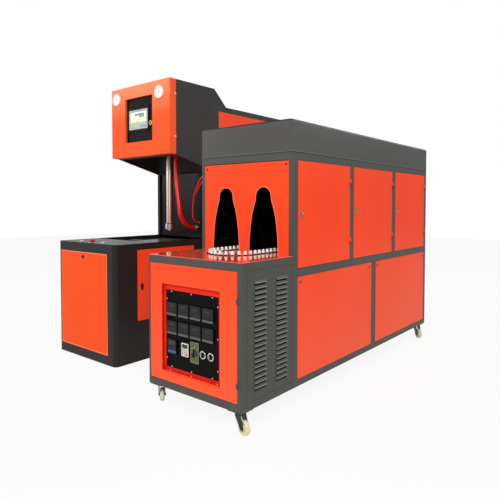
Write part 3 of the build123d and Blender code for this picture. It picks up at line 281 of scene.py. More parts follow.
moulded("counterStrip", (58, 84, 118), 0.35)
moulded("switchDisc", (78, 78, 48), 0.42)
moulded("switchPlateRim", (128, 126, 88), 0.42)
moulded("switchPlateFace", (88, 88, 56), 0.45)
# painted shade in the oven locks' keyways
moulded("slotBrown", (58, 34, 24), 0.5)
moulded("knobBlack", (16, 16, 16), 0.28)
moulded("printWhite", (226, 226, 222), 0.5)
moulded("printBlack", (20, 20, 22), 0.5)
moulded("casterNylon", (222, 213, 176), 0.34, 300.0, 0.0001)
moulded("mandrelNylon", (236, 234, 228), 0.28)
# pale pink as painted highlight on the head's hinges
moulded("hingeCapNylon", (255, 150, 140), 0.3)
moulded("buttonWhite", (238, 238, 236), 0.22)
moulded("stopRed", (206, 22, 20), 0.22)
moulded("dialWhite", (250, 250, 248), 0.4)
moulded("dialRim", (255, 206, 190), 0.25)
moulded("screenFrame", (176, 178, 176), 0.36)
moulded("windowGlass", (10, 12, 14), 0.07, 20.0, 0.0, 0.5)
moulded("hoseRubber", (230, 12, 18), 0.2, 500.0, 0.00005, 0.6)
moulded("hoseOld", (96, 12, 10), 0.4)
# near black: painted shade in the gaps round the doors and panels and in the hood's seam
moulded("sealRubber", (20, 19, 18), 0.6, 700.0, 0.00005, 0.2)
moulded("blackenedQuartz", (17, 15, 14), 0.55, 200.0, 0.00002, 0.08)
glow("digitGreen", (12, 60, 24), (70, 200, 96), 0.12)
glow("digitRed", (60, 10, 8), (255, 70, 50), 0.12)

casterCorners = ("front_right", "front_left", "rear_right", "rear_left")
nodeFinish = {
    "orangeEnamel": "arch_panel oven_door_1 oven_door_2 oven_door_3 side_panels bed_side_door column_panels",
    "doorEnamel": "control_door",
    "warmEnamel": "bed_front_panel",
    "headOrange": "head_collar head_door",
    "tableEnamel": "table_top",
    "greyEnamel": "left_frame right_frame cross_rails louvre_panel",
    "hoodEnamel": "hood",
    "charcoalEnamel": "bed_cabinet column_shell",
    "headEnamel": "head_box",
    "deckEnamel": "bed_deck",
    "blackSteel": "heater_base chain_support",
    "casterEnamel": " ".join("caster_fork_" + c for c in casterCorners),
    "casterNylon": " ".join("caster_wheel_" + c for c in casterCorners),
    "motorPaint": "gearmotor",
    "oiledChain": "carrier_chain",
    "groundSteel": "idler_sprocket drive_sprocket clamp_frame blow_cylinder",
    "machinedAluminium": "moving_mould",
    "heatTintedSheet": "lamp_reflectors",
    "blackenedQuartz": "heating_lamps",
    "brightChrome": "oven_lock_1 oven_lock_2 oven_lock_3",
    "hardChrome": "blow_piston stretch_rod",
    "panelBlack": "control_panel hmi_panel",
    "instrumentCase": "panel_instruments",
    "dialRim": "pressure_gauges",
    "knobBlack": "selector_knob_1 selector_knob_2 bed_front_lock bed_side_lock",
    "switchDisc": "main_switch",
    "buttonWhite": "start_button_1 start_button_2",
    "stopRed": "emergency_stop",
    "hoseRubber": "main_hose thin_hose_1 thin_hose_2",
}
for look, nodes in nodeFinish.items():
    for node in nodes.split():
        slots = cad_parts[node].data.materials
        slots.clear()
        slots.append(bpy.data.materials[look])
print("finishes on all nodes")


def placed(name, data):
    # a new object of some data, linked to the scene
    made = bpy.data.objects.new(name, data)
    bpy.context.scene.collection.objects.link(made)
    return made


def piece(name, shapes, look, body="machine", smooth=False):
    # a mesh of one shape or of a list of them, in place, riding on a body
    points, faces = gather(shapes) if isinstance(shapes, list) else shapes
    mesh = bpy.data.meshes.new(name)
    mesh.from_pydata(np.asarray(points).tolist(), [], [list(map(int, f)) for f in faces])
    mesh.update()
    mesh.polygons.foreach_set("use_smooth", [smooth] * len(mesh.polygons))
    mesh.materials.append(bpy.data.materials[look])
    if smooth:
        mesh.set_sharp_from_angle(angle=math.radians(35))
    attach(placed(name, mesh), body)


def meshPoints(mesh):
    # the points of a mesh as one array
    at = np.empty(len(mesh.vertices) * 3)
    mesh.vertices.foreach_get("co", at)
    return at.reshape(-1, 3)


def skinRings(rings, loop=False):
    # quads between each ring and the next; a loop joins the last to the first, else both are capped
    rings = np.asarray(rings, float)
    rows, columns = rings.shape[:2]
    row = np.arange(rows if loop else rows - 1)[:, None]
    column = np.arange(columns)[None, :]
    after = (column + 1) % columns
    below = (row + 1) % rows
    quads = np.stack([row * columns + column, row * columns + after, below * columns + after,
                      below * columns + column], axis=-1)
    faces = quads.reshape(-1, 4).tolist()
    if not loop:
        faces += [list(range(columns))[::-1], list(range((rows - 1) * columns, rows * columns))]
    return rings.reshape(-1, 3), faces


def gather(parts):
    # several shapes made into one
    points, faces, count = [], [], 0
    for somePoints, someFaces in parts:
        points.append(somePoints)
        faces.extend([[i + count for i in face] for face in someFaces])
        count += len(somePoints)
    return np.concatenate(points), faces


# how a shape built upright is laid along each direction: the columns it takes and their signs
facings = {"z": ([0, 1, 2], (1, 1, 1)), "-y": ([0, 2, 1], (1, -1, 1)), "x": ([2, 0, 1], (1, 1, 1)),
           "-x": ([2, 0, 1], (-1, -1, 1))}


def laid(rings, facing, at):
    # rings drawn about the z axis, turned to face a direction and moved to a place
    order, signs = facings[facing]
    return rings[:, :, order] * signs + np.array(at)


def turned(profile, steps, centre, facing="z", ring=False):
    # each (radius, height) of the profile goes once round the axis; a ring's profile is closed
    radius, height = np.array(profile, float).T[:, :, None]
    angle = np.linspace(0, 2 * math.pi, steps, endpoint=False) + math.pi / steps
    rings = np.stack([radius * np.cos(angle), radius * np.sin(angle), np.repeat(height, steps, 1)], -1)
    return skinRings(laid(rings, facing, centre), ring)


def outlined(box, profile, face, corner=0.0015, ring=False, steps=2, facing="-y"):
    # a rounded rectangle drawn at each (outset, height) of the profile; a plate is capped, a ring closed
    x0, x1, z0, z1 = box
    turn = np.concatenate([np.linspace(0, math.pi / 2, steps + 1) + k * math.pi / 2 for k in range(4)])
    middleX = np.repeat([x1 - corner, x0 + corner, x0 + corner, x1 - corner], steps + 1)
    middleZ = np.repeat([z1 - corner, z1 - corner, z0 + corner, z0 + corner], steps + 1)
    outset, height = np.array(profile, float).T[:, :, None]
    reach = np.maximum(corner + outset, 0.00002)
    slack = np.minimum(corner + outset, 0.0)
    rings = np.stack([middleX + reach * np.cos(turn) + slack * np.sign(middleX - (x0 + x1) / 2),
                      middleZ + reach * np.sin(turn) + slack * np.sign(middleZ - (z0 + z1) / 2),
                      np.repeat(height, len(turn), 1)], -1)
    return skinRings(laid(rings, facing, (0, face, 0) if facing == "-y" else (face, 0, 0)), ring)


def plaque(box, face, thick, edge=0.0006, corner=0.0015, steps=2, facing="-y"):
    # a rounded plate whose front edge is eased in two bevels
    profile = [(0, 0), (0, thick - edge), (-edge * 0.3, thick - edge * 0.3), (-edge, thick)]
    return outlined(box, profile, face, corner, False, steps, facing)


def around(x, z, span):
    # a box from its left, right, foot and top about a middle
    return x + span[0], x + span[1], z + span[2], z + span[3]


def tiles(spots, tile, face):
    # the same plate about each middle: a tile is its span, thickness, eased edge, corner radius and steps
    return [plaque(around(x, z, tile), face, *tile[4:]) for x, z in spots]


def screwHead(centre, facing, radius, height):
    # a domed screw: flat rim, rounded crown and a small socket in the middle
    profile = [(1.0, 0.0), (1.0, 0.35), (0.86, 0.8), (0.55, 1.0), (0.4, 1.0), (0.34, 0.4)]
    return turned([(radius * r, height * h) for r, h in profile], 10, centre, facing)


# the camera stands where the photograph was taken from; turn and down are in degrees
cameraView = {"place": (rightX + 1.4921, frontY - 1.7724, 1.1159), "turn": 39.96, "down": 1.99,
              "lens": 35.65, "sensor": 36.0, "shift": (0.0147, -0.0562), "far": 60.0}
camera = placed("camera", bpy.data.cameras.new("camera"))
camera.data.lens = cameraView["lens"]
camera.data.sensor_width = cameraView["sensor"]
camera.data.shift_x, camera.data.shift_y = cameraView["shift"]
camera.data.clip_end = cameraView["far"]
camera.location = cameraView["place"]
camera.rotation_euler = (math.radians(90 - cameraView["down"]), 0, math.radians(cameraView["turn"]))
bpy.context.scene.camera = camera

# hoses: each a NURBS line through the same points as the route in the source, measured from "start"
hoseRoutes = {
    "main_hose": {"bore": 0.018, "start": (bedMid, blowY), "points": [
        (0.082, 0, 1.57), (0.082, 0, 1.439), (0.087, 0, 1.319), (0.104, 0, 1.2), (0.119, 0, 1.112),
        (0.13, 0, 1.031), (0.136, 0.041, 0.96), (0.14, 0.112, 0.919), (0.14, 0.194, 0.919)]},
    "thin_hose_1": {"bore": 0.006, "start": (bedRight, columnY), "points": [
        (-0.081, 0, 1.374), (-0.081, -0.035, 1.374), (-0.089, -0.067, 1.358), (-0.103, -0.085, 1.33),
        (-0.136, -0.086, 1.276), (-0.183, -0.084, 1.186), (-0.191, -0.084, 1.105), (-0.194, -0.084, 1.055),
        (-0.192, -0.084, 1.01), (-0.192, -0.066, 0.979), (-0.192, -0.035, 0.961), (-0.192, 0, 0.961)]},
    "thin_hose_2": {"bore": 0.006, "start": (bedRight, columnY), "points": [
        (-0.1, 0, 1.325), (-0.1, -0.028, 1.325), (-0.1065, -0.054, 1.312), (-0.118, -0.0686, 1.29),
        (-0.146, -0.0686, 1.243), (-0.186, -0.0686, 1.2), (-0.203, -0.0686, 1.13), (-0.208, -0.0686, 1.06),
        (-0.208, -0.0686, 1.006), (-0.208, -0.0535, 0.981), (-0.208, -0.0284, 0.9664), (-0.208, 0, 0.9664)]},
}
# a ferrule's steps, as shares of the hose's radius: how wide and how far along
ferrule = {"gap": 0.0004, "foot": (0.9, 1.32), "steps": [(1.32, 0.9), (1.18, 1.0), (1.18, 1.9), (1.02, 2.05)]}


def drawSpline(line, points):
    # a NURBS line of order 3 with the points as its control points
    line.dimensions = "3D"
    line.resolution_u = 14
    spline = line.splines.new("NURBS")
    spline.points.add(len(points) - 1)
    spline.points.foreach_set("co", np.concatenate([np.array(points), np.ones((len(points), 1))], 1).ravel())
    spline.order_u = 3
    spline.use_endpoint_u = True


def lineLength(points):
    # length of the smooth line: Blender samples it as a mesh, whose edges are added up
    line = bpy.data.curves.new("ruler", "CURVE")
    drawSpline(line, points)
    ruler = placed("ruler", line)
    at = meshPoints(bpy.data.meshes.new_from_object(ruler))
    bpy.data.objects.remove(ruler)
    return float(np.linalg.norm(np.diff(at, axis=0), axis=1).sum())


def hoseFerrule(end, inner, bore):
    # a stepped sleeve turned about the hose's own direction at one end
    profile = [(bore * r, ferrule["gap"]) for r in ferrule["foot"]]
    profile += [(bore * r, bore * h) for r, h in ferrule["steps"]]
    at, faces = turned(profile, 20, (0, 0, 0))
    along = (inner - end) / np.linalg.norm(inner - end)
    side = np.cross(along, (1.0, 0.0, 0.0) if abs(along[0]) < 0.9 else (0.0, 1.0, 0.0))
    side = side / np.linalg.norm(side)
    across = np.cross(along, side)
    return at[:, [0]] * side + at[:, [1]] * across + at[:, [2]] * along + end, faces


for name, route in hoseRoutes.items():
    points = np.array(route["points"]) + (*route["start"], 0)
    length = lineLength(points)
    line = bpy.data.curves.new(name + "Line", "CURVE")
    drawSpline(line, points)
    line.bevel_depth = route["bore"]
    line.bevel_resolution = 6
    line.materials.append(bpy.data.materials["hoseRubber"])
    hose = placed(name + "Tube", line)
    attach(hose, "machine")
    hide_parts(name)
    2 * route["bore"]
    ends = [hoseFerrule(points[i], points[j], route["bore"]) for i, j in ((0, 1), (-1, -2))]
    piece(name + "Ferrules", ends, "groundSteel", smooth=True)
print("hoses laid")

# mandrels: a white collar on each holder of the chain, with a plug for the neck of what it carries
mandrel = {"collar": 0.0102, "waist": 0.0083, "plug": 0.006, "foot": 0.846, "top": 0.8665, "holder": 0.0165}


def holderPlaces():
    # middle of each holder: the chain's topmost corners in groups that lie within a holder's width
    at = meshPoints(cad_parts["carrier_chain"].data)
    high = np.unique(np.round(at[at[:, 2] > at[:, 2].max() - 0.0005][:, :2], 5), axis=0)
    places = []
    while len(high):
        near = np.linalg.norm(high - high[0], axis=1) < mandrel["holder"]
        places.append(high[near].mean(0))
        high = high[~near]
    return places


def mandrelShape(x, y):
    # a waist with a collar round its foot, drawn in to the plug at its top
    foot, top, waist, collar = mandrel["foot"], mandrel["top"], mandrel["waist"], mandrel["collar"]
    profile = [(waist, foot), (collar, foot + 0.001), (collar, foot + 0.006), (waist, foot + 0.0075),
               (waist, top - 0.004), (mandrel["plug"], top)]
    return turned(profile, 10, (x, y, 0))


places = holderPlaces()
piece("carrierMandrels", [mandrelShape(x, y) for x, y in places], "mandrelNylon", smooth=True)
print("mandrels on", len(places), "holders")

# louvres: a domed skin on each blade with its lip lighter as painted highlight, a cheek at either end, and a black
# plate below it as painted shadow
louvre = {"columns": (0.143, 0.323), "width": 0.092, "count": 21, "pitch": 0.0259, "middle": 0.4795,
          "slot": 0.013, "reach": 0.006, "dome": 0.0014, "above": 0.0014, "below": 0.0012, "side": 0.0006,
          "shadowBand": (0.0118, 0.0002), "shadowPlate": (0.0005, 0.0002, 0.003)}


def louvreLine(start, stop, lift=0.0):
    # the blade's outer line: it bulges from the slot's top to the lip as a half sine
    share = np.linspace(start, stop, 5)
    out = louvre["reach"] * share + louvre["dome"] * np.sin(math.pi * share) + lift
    return share, np.stack([out, louvre["above"] - (louvre["slot"] + louvre["below"]) * share], 1)


def louvreSolid(loop, y, z, ends):
    # a closed line of (out, up) swept along y from one end to the other
    rings = [np.stack([rightX + loop[:, 0], np.full(len(loop), y + end), z + loop[:, 1]], 1) for end in ends]
    return skinRings(rings)


def louvreBlade(y, z, start, stop, lift):
    # a part of the blade's line, closed by its own chord just inside the blade
    share, line = louvreLine(start, stop, lift)
    chord = np.stack([louvre["reach"] * share[[-1, 0]] - 0.0006, line[[-1, 0], 1] - 0.0003], 1)
    half = louvre["width"] / 2 + louvre["side"] + lift
    return louvreSolid(np.concatenate([line, chord]), y, z, (-half, half))


def louvreCheeks(y, z):
    # the blade's whole line closed down to the panel: a thin wall at either end of the slot
    line = louvreLine(0.0, 1.0)[1]
    loop = np.concatenate([line, [[-0.0008, line[-1, 1]], [-0.0008, line[0, 1]]]])
    near = louvre["width"] / 2 - 0.0004
    far = louvre["width"] / 2 + louvre["side"]
    return [louvreSolid(loop, y, z, pair) for pair in ((-far, -near), (near, far))]


def louvreShadowPlate(y, z):
    # a thin black plate under the lip: painted shadow of the blade on the panel
    half = louvre["width"] / 2 - 0.001
    deep, near = louvre["shadowBand"]
    low = z - louvre["slot"]
    return plaque((y - half, y + half, low - deep, low - near), rightX, *louvre["shadowPlate"], facing="x")


rows = np.arange(louvre["count"]) - (louvre["count"] - 1) / 2
tops = louvre["middle"] + rows * louvre["pitch"] + louvre["slot"] / 2
pairs = [(frontY + column, top) for column in louvre["columns"] for top in tops]
blades = [louvreBlade(y, z, 0.0, 0.66, 0.0003) for y, z in pairs]
for y, z in pairs:
    blades += louvreCheeks(y, z)
piece("louvreBlades", blades, "greyEnamel", smooth=True)
# the lip of each blade in a lighter grey: painted highlight where light falls on it
piece("louvreLips", [louvreBlade(y, z, 0.6, 1.0, 0.0005) for y, z in pairs], "bladeEnamel", smooth=True)
piece("louvreShadowPlates", [louvreShadowPlate(y, z) for y, z in pairs], "sootedSheet")
print("louvres dressed")

# hood: a folded lip round its foot in a lighter grey as painted highlight, and a dark strip in the seam as painted
# shade
seam = {"height": 1.4, "lip": 0.0065, "lipOut": 0.0016, "gapShade": 0.0028, "gapShadeOut": 0.0007, "meet": 0.0002,
        "short": 0.002}


def hoodBand(low, high, out):
    # a strip round the hood's left, front and right, mitred at its corners, closed behind
    profile = [(-0.001, low), (-0.001, high), (out * 0.5, high), (out, high - 0.0008), (out, low + 0.0004),
               (0, low)]
    rear = rearY - seam["short"]
    path = [(leftX, rear, -1, 0), (leftX, ovenY, -1, -1), (rightX, ovenY, 1, -1), (rightX, rear, 1, 0)]
    x, y, dx, dy = np.array(path).T[:, :, None]
    outset, height = np.array(profile).T
    return skinRings(np.stack(np.broadcast_arrays(x + dx * outset, y + dy * outset, height), -1))


meet = seam["height"] + seam["meet"]
piece("hoodLip", hoodBand(meet, seam["height"] + seam["lip"], seam["lipOut"]), "lipEnamel")
piece("hoodSeamShade", hoodBand(seam["height"] - seam["gapShade"], meet, seam["gapShadeOut"]), "sealRubber")

# locks: an oval plate round each turning lock, and a dark plate at the bottom of its slot as painted shade in the
# keyway;
# a plate is half across, half up, hole, thickness and eased edge
lockPlate = {"oven": (0.0135, 0.0285, 0.0099, 0.0022, 0.0009), "side": (0.0125, 0.0265, 0.0099, 0.0022, 0.0009),
             "front": (0.0185, 0.0165, 0.0129, 0.002, 0.0008), "steps": 28, "proud": 0.0001}
lockHeight = {"oven": 1.067, "side": 0.532, "front": 0.738}
lockSlot = {"halfLong": 0.0049, "halfWide": 0.00115, "deep": 0.0015, "plate": (0.0004, 0.0001, 0.0003)}


def ovalPlate(centre, facing, across, upright, hole, thick, edge):
    # an oval drawn at each step of the plate's section, closed through its round hole
    angle = np.linspace(0, 2 * math.pi, lockPlate["steps"], endpoint=False)
    sizes = [(across, upright, 0), (across, upright, thick - edge), (across - edge, upright - edge, thick),
             (hole, hole, thick), (hole, hole, 0)]
    rings = np.stack([np.stack([a * np.cos(angle), b * np.sin(angle), np.full(len(angle), h)], 1)
                      for a, b, h in sizes])
    return skinRings(laid(rings, facing, centre), True)


def trimLock(name, node, kind, face, looks, bodies, number=""):
    # plate and slot of one lock: on a right side its slot stands upright, on the front it lies level
    low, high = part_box(node)
    z, proud, deep = lockHeight[kind], lockPlate["proud"], lockSlot["deep"]
    long, wide = lockSlot["halfLong"], lockSlot["halfWide"]
    if kind == "front":
        at, facing, bottom, span = (low[0] + high[0]) / 2, "-y", low[1] + deep, (-long, long, -wide, wide)
        centre = (at, face - proud, z)
    else:
        at, facing, bottom, span = (low[1] + high[1]) / 2, "x", high[0] - deep, (-wide, wide, -long, long)
        centre = (face + proud, at, z)
    piece(name + "Plate" + number, ovalPlate(centre, facing, *lockPlate[kind]), looks[0], bodies[0], True)
    slot = plaque(around(at, z, span), bottom, *lockSlot["plate"], facing=facing)
    piece(name + "Slot" + number, slot, looks[1], bodies[1])


for number in "123":
    trimLock("ovenLock", "oven_lock_" + number, "oven", rightX, ("agedBrass", "slotBrown"),
             ("oven_door_body_" + number, "oven_lock_body_" + number), number)
trimLock("bedSideLock", "bed_side_lock", "side", bedRight, ("knobBlack", "sootedSheet"),
         ("bed_side_door_body", "bed_side_lock_body"))
trimLock("bedFrontLock", "bed_front_lock", "front", bedY, ("agedBrass", "sootedSheet"),
         ("bed_front_panel_body", "bed_front_lock_body"))
print("locks trimmed")

# control panel: instrument faces on the black plate
panel = {"behind": 0.018, "case": 0.008}
plateY = frontY + panel["behind"]
caseY = plateY - panel["case"]


def onPanel(name, shapes, look, smooth=False):
    # one piece on the control door
    piece(name, shapes, look, "control_door_body", smooth)


regulator = {"first": rightX - 0.499, "pitch": 0.089, "columns": 4, "rows": (0.556, 0.456), "raised": 0.0012,
             "face": (-0.0385, 0.0385, -0.0225, 0.036, 0.0012, 0.0006, 0.003, 3),
             "strip": (-0.0375, 0.0375, -0.0355, -0.024, 0.0016),
             "window": (-0.018, 0.018, 0.0115, 0.0225, 0.0003, 0.0001, 0.0008),
             "key": (-0.0185, -0.0105, -0.0075, 0.0005, 0.0009, 0.0003, 0.0012), "keyPitch": 0.0145}
spots = [(regulator["first"] + i * regulator["pitch"], z) for z in regulator["rows"]
         for i in range(regulator["columns"])]
keySpots = [(x + k * regulator["keyPitch"], z) for x, z in spots for k in range(3)]
faceY = caseY - regulator["raised"]
onPanel("regulatorFaces", tiles(spots, regulator["face"], caseY), "instrumentFace")
onPanel("regulatorStrips", tiles(spots, regulator["strip"], caseY), "instrumentStrip")
onPanel("regulatorWindows", tiles(spots, regulator["window"], faceY), "windowGlass")
onPanel("regulatorKeys", tiles(keySpots, regulator["key"], faceY), "keyDark", True)

# lit figures: the bars of each by their usual letters, sized as shares of the figure's height
segments = {"0": "abcdef", "2": "abged", "4": "fgbc", "5": "afgcd", "8": "abcdefg"}
segment = {"pitch": 0.0105, "wide": 0.55, "bar": 0.13, "plate": (0.0002, 0.00005, 0.0001)}


def figureRow(text, x, z, size, front):
    # figures side by side, each of upright and level bars with a little room between them
    wide, bar = size * segment["wide"], size * segment["bar"]
    half = size / 2
    bars = {"a": (0, size, wide, bar), "b": (wide, half, bar, half), "c": (wide, 0, bar, half),
            "d": (0, 0, wide, bar), "e": (0, 0, bar, half), "f": (0, half, bar, half),
            "g": (0, half, wide, bar)}
    row = []
    for k, figure in enumerate(text):
        for left, foot, long, high in (bars[s] for s in segments[figure]):
            span = (left + bar * 0.3, left + long - bar * 0.1, foot + bar * 0.15, foot + high - bar * 0.15)
            row.append(plaque(around(x + k * segment["pitch"], z, span), front, *segment["plate"]))
    return row


counter = {"x": rightX - 0.498, "z": 0.354, "raised": 0.0012, "keyPitch": 0.018,
           "face": (-0.032, 0.032, -0.02, 0.037, 0.0012, 0.0006, 0.003, 3),
           "strip": (-0.031, 0.031, -0.037, -0.0215, 0.0014),
           "window": (-0.025, 0.025, 0.008, 0.028, 0.0003, 0.0001, 0.001),
           "key": (-0.025, -0.012, -0.012, -0.003, 0.001, 0.0003),
           "figures": "0248", "figuresAt": (-0.0195, 0.0115), "figureTall": 0.013, "figuresOut": 0.0003}
keypad = {"x": rightX - 0.397, "z": 0.352, "raised": 0.0014, "keyPitch": (0.0149, 0.0118), "stopKey": 6,
          "face": (-0.0265, 0.0265, -0.0355, 0.0355, 0.0014, 0.0006, 0.004, 3),
          "window": (-0.0205, 0.0205, 0.008, 0.029, 0.0004, 0.0001, 0.001),
          "key": (-0.021, -0.0088, -0.0295, -0.0205, 0.0012, 0.0004),
          "figures": "250", "figuresAt": (-0.0145, 0.0115), "figureTall": 0.0135, "figuresOut": 0.0004}


def litFigures(meter):
    # the figures in a meter's window
    left, foot = meter["figuresAt"]
    front = caseY - meter["raised"] - meter["figuresOut"]
    return figureRow(meter["figures"], meter["x"] + left, meter["z"] + foot, meter["figureTall"], front)


x, z = counter["x"], counter["z"]
faceY = caseY - counter["raised"]
onPanel("counterFace", tiles([(x, z)], counter["face"], caseY), "instrumentFace")
onPanel("counterStrip", tiles([(x, z)], counter["strip"], caseY), "counterStrip")
onPanel("counterWindow", tiles([(x, z)], counter["window"], faceY), "windowGlass")
onPanel("counterFigures", litFigures(counter), "digitGreen")
keySpots = [(x + k * counter["keyPitch"], z) for k in range(3)]
onPanel("counterKeys", tiles(keySpots, counter["key"], faceY), "keyDark", True)

x, z = keypad["x"], keypad["z"]
faceY = caseY - keypad["raised"]
onPanel("keypadFace", tiles([(x, z)], keypad["face"], caseY), "keypadWhite")
onPanel("keypadWindow", tiles([(x, z)], keypad["window"], faceY), "windowGlass")
across, up = keypad["keyPitch"]
keys = tiles([(x + c * across, z + r * up) for c in range(3) for r in range(3)], keypad["key"], faceY)
stopKey = keys.pop(keypad["stopKey"])
onPanel("keypadKeys", keys, "keyGrey", True)
onPanel("keypadStopKey", [stopKey], "stopRed", True)
onPanel("keypadFigures", litFigures(keypad), "digitRed")

# main switch: a plate with a raised rim, three marks round the disc, the lever's cap on the knob
switch = {"x": rightX - 0.331, "z": 0.348, "raised": 0.003, "plate": (-0.0302, 0.0302, -0.0547, 0.0547),
          "rim": [(0, 0), (0, 0.0005), (-0.0004, 0.0009), (-0.0032, 0.0009), (-0.0038, 0.0004), (-0.0038, 0)],
          "face": (-0.0265, 0.0265, -0.051, 0.051, 0.0003, 0.0001, 0.002),
          "marks": (90, 45, 135), "markReach": (0.02438, 0.0275),
          "dot": [(0.0022, 0), (0.0022, 0.0003), (0.0018, 0.0005)], "lever": (-0.0062, 0.0062, -0.0215, 0.0195),
          "cap": [(0, -0.007), (0, 0.0012), (-0.0012, 0.0024), (-0.003, 0.0028)], "capFront": 0.0028,
          "leverMark": (-0.0011, 0.0011, 0.006, 0.016, 0.0003, 0.0001, 0.0004)}
x, z = switch["x"], switch["z"]
faceY = plateY - switch["raised"]
onPanel("switchPlate", outlined(around(x, z, switch["plate"]), switch["rim"], faceY, 0.004, True, 3),
        "switchPlateRim")
onPanel("switchFace", tiles([(x, z)], switch["face"], faceY), "switchPlateFace")
across, up = switch["markReach"]
spots = [(x + across * math.cos(a), faceY - 0.0002, z + up * math.sin(a)) for a in np.radians(switch["marks"])]
onPanel("switchMarks", [turned(switch["dot"], 10, spot, "-y") for spot in spots], "printWhite")
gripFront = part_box("main_switch")[0][1]
piece("switchLever", outlined(around(x, z, switch["lever"]), switch["cap"], gripFront, 0.006, False, 4),
      "knobBlack", "main_switch_body", True)
piece("switchLeverMark", tiles([(x, z)], switch["leverMark"], gripFront - switch["capFront"]), "printWhite",
      "main_switch_body")
print("instruments faced")

# selector knobs: a silver ring round each and a white mark on its grip
knob = {"places": (rightX - 0.274, rightX - 0.218), "z": 0.347,
        "mark": (-0.0014, 0.0014, -0.0092, 0.0098, 0.0003, 0.0001, 0.0004),
        "ring": [(0.0212, 0), (0.0212, 0.0018), (0.0198, 0.003), (0.0156, 0.003), (0.0147, 0.002), (0.0147, 0)]}
for number, x in enumerate(knob["places"], start=1):
    ring = turned(knob["ring"], 28, (x, plateY, knob["z"]), "-y", True)
    onPanel("knobRing%d" % number, ring, "brightChrome", True)
    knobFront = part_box("selector_knob_%d" % number)[0][1]
    piece("knobMark%d" % number, tiles([(x, knob["z"])], knob["mark"], knobFront), "printWhite",
          "selector_knob_body_%d" % number)

# screws round the instrument plate and on the door's ledge
opening = {"x0": rightX - 0.551, "x1": rightX - 0.160, "z0": 0.235, "z1": 0.657, "rim": 0.0075}
plateScrew = {"size": (0.0042, 0.0026), "fromSide": 0.045, "fromFoot": 0.05}
ledgeScrew = {"size": (0.0036, 0.0022), "behind": 0.016, "z": 0.2195, "from": (0.516, 0.355, 0.169)}
x0, x1, z0, z1, rim = opening.values()
side, foot = plateScrew["fromSide"], plateScrew["fromFoot"]
spots = [(x, z) for x in (x0 + side, (x0 + x1) / 2, x1 - side) for z in (z0 + rim, z1 - rim)]
spots += [(x, z) for z in np.linspace(z0 + foot, z1 - foot, 3) for x in (x0 + rim, x1 - rim)]
screws = [screwHead((x, plateY, z), "-y", *plateScrew["size"]) for x, z in spots]
ledgeY = frontY + ledgeScrew["behind"]
screws += [screwHead((rightX - x, ledgeY, ledgeScrew["z"]), "-y", *ledgeScrew["size"])
           for x in ledgeScrew["from"]]
onPanel("panelScrews", screws, "zincScrew", True)
print("control panel trimmed")

# operator panel: touch screen, its pale frame, the key ring
screen = {"x": bedLeft + 0.333, "z": 1.797, "halfWide": 0.114, "halfTall": 0.078, "frame": 0.014, "lap": 0.0004,
          "front": headY + 0.016, "glow": 0.14}
# the picture's parts as shares of its width and height: left, right, foot, top, share and colour
pictureParts = [((0.0, 1.0, 0.0, 0.34), 0.9, (120, 158, 88)), ((0.02, 0.6, 0.04, 0.44), "keys", (84, 132, 70)),
                ((0.6, 0.98, 0.02, 0.16), 1.0, (62, 88, 142)), ((0.28, 0.86, 0.74, 0.88), 1.0, (34, 58, 28)),
                ((0.55, 0.86, 0.6, 0.74), 1.0, (88, 118, 74)), ((0.0, 1.0, 0.95, 1.0), 1.0, (150, 156, 158))]


def screenPicture(wide, tall):
    # the touch screen's picture: pale ground, banner, rows of buttons, a foot bar, under glass
    shade = Shade("touchScreen", Roughness=0.16, Coat_Weight=0.3, Emission_Strength=screen["glow"])
    across = shade.ramp(shade.axis("X"), *wide)
    up = shade.ramp(shade.axis("Z"), *tall)
    keys = ((across * 4.0).fract() > 0.2) * ((up * 9.0).fract() > 0.35)
    picture = shade.mix(shade.ramp(up, 0.1, 0.9), colour(206, 214, 150), colour(246, 240, 204))
    for (x0, x1, z0, z1), share, tone in pictureParts:
        patch = (across > x0) * (across < x1) * (up > z0) * (up < z1)
        picture = shade.mix(patch * keys * 0.7 if share == "keys" else patch * share, picture, colour(*tone))
    shade.feed(Base_Color=picture)
    shade.feed(Emission_Color=picture)


x, z, halfW, halfT, front = screen["x"], screen["z"], screen["halfWide"], screen["halfTall"], screen["front"]
rim = screen["frame"]
frameLine = [(0, 0), (0, 0.0055), (-0.0016, 0.0072), (-rim + 0.0015, 0.0062), (-rim, 0.0048), (-rim, 0)]
frameBox = (x - halfW, x + halfW, z - halfT, z + halfT)
piece("screenFrame", outlined(frameBox, frameLine, front, 0.006, True, 3), "screenFrame",
      "head_door_body", True)
inner = rim - screen["lap"]
glassX = (x - halfW + inner, x + halfW - inner)
glassZ = (z - halfT + inner, z + halfT - inner)
screenPicture(glassX, glassZ)
piece("screenGlass", plaque((*glassX, *glassZ), front, 0.0036, 0.0002), "touchScreen", "head_door_body")
keySwitch = {"at": (bedLeft + 0.481, headY + 0.015, 1.756),
             "ring": [(0.0182, -0.005), (0.0182, 0.0012), (0.017, 0.0024), (0.0136, 0.0024), (0.013, 0.0014),
                      (0.013, -0.005)],
             "barrel": [(0.0129, 0), (0.0129, 0.0008), (0.012, 0.0012), (0.0012, 0.0012), (0.001, 0.0002)]}
at = keySwitch["at"]
piece("keyRing", turned(keySwitch["ring"], 28, at, "-y", True), "agedBrass", "head_door_body", True)
piece("keyBarrel", turned(keySwitch["barrel"], 24, at, "-y"), "knobBlack", "head_door_body", True)

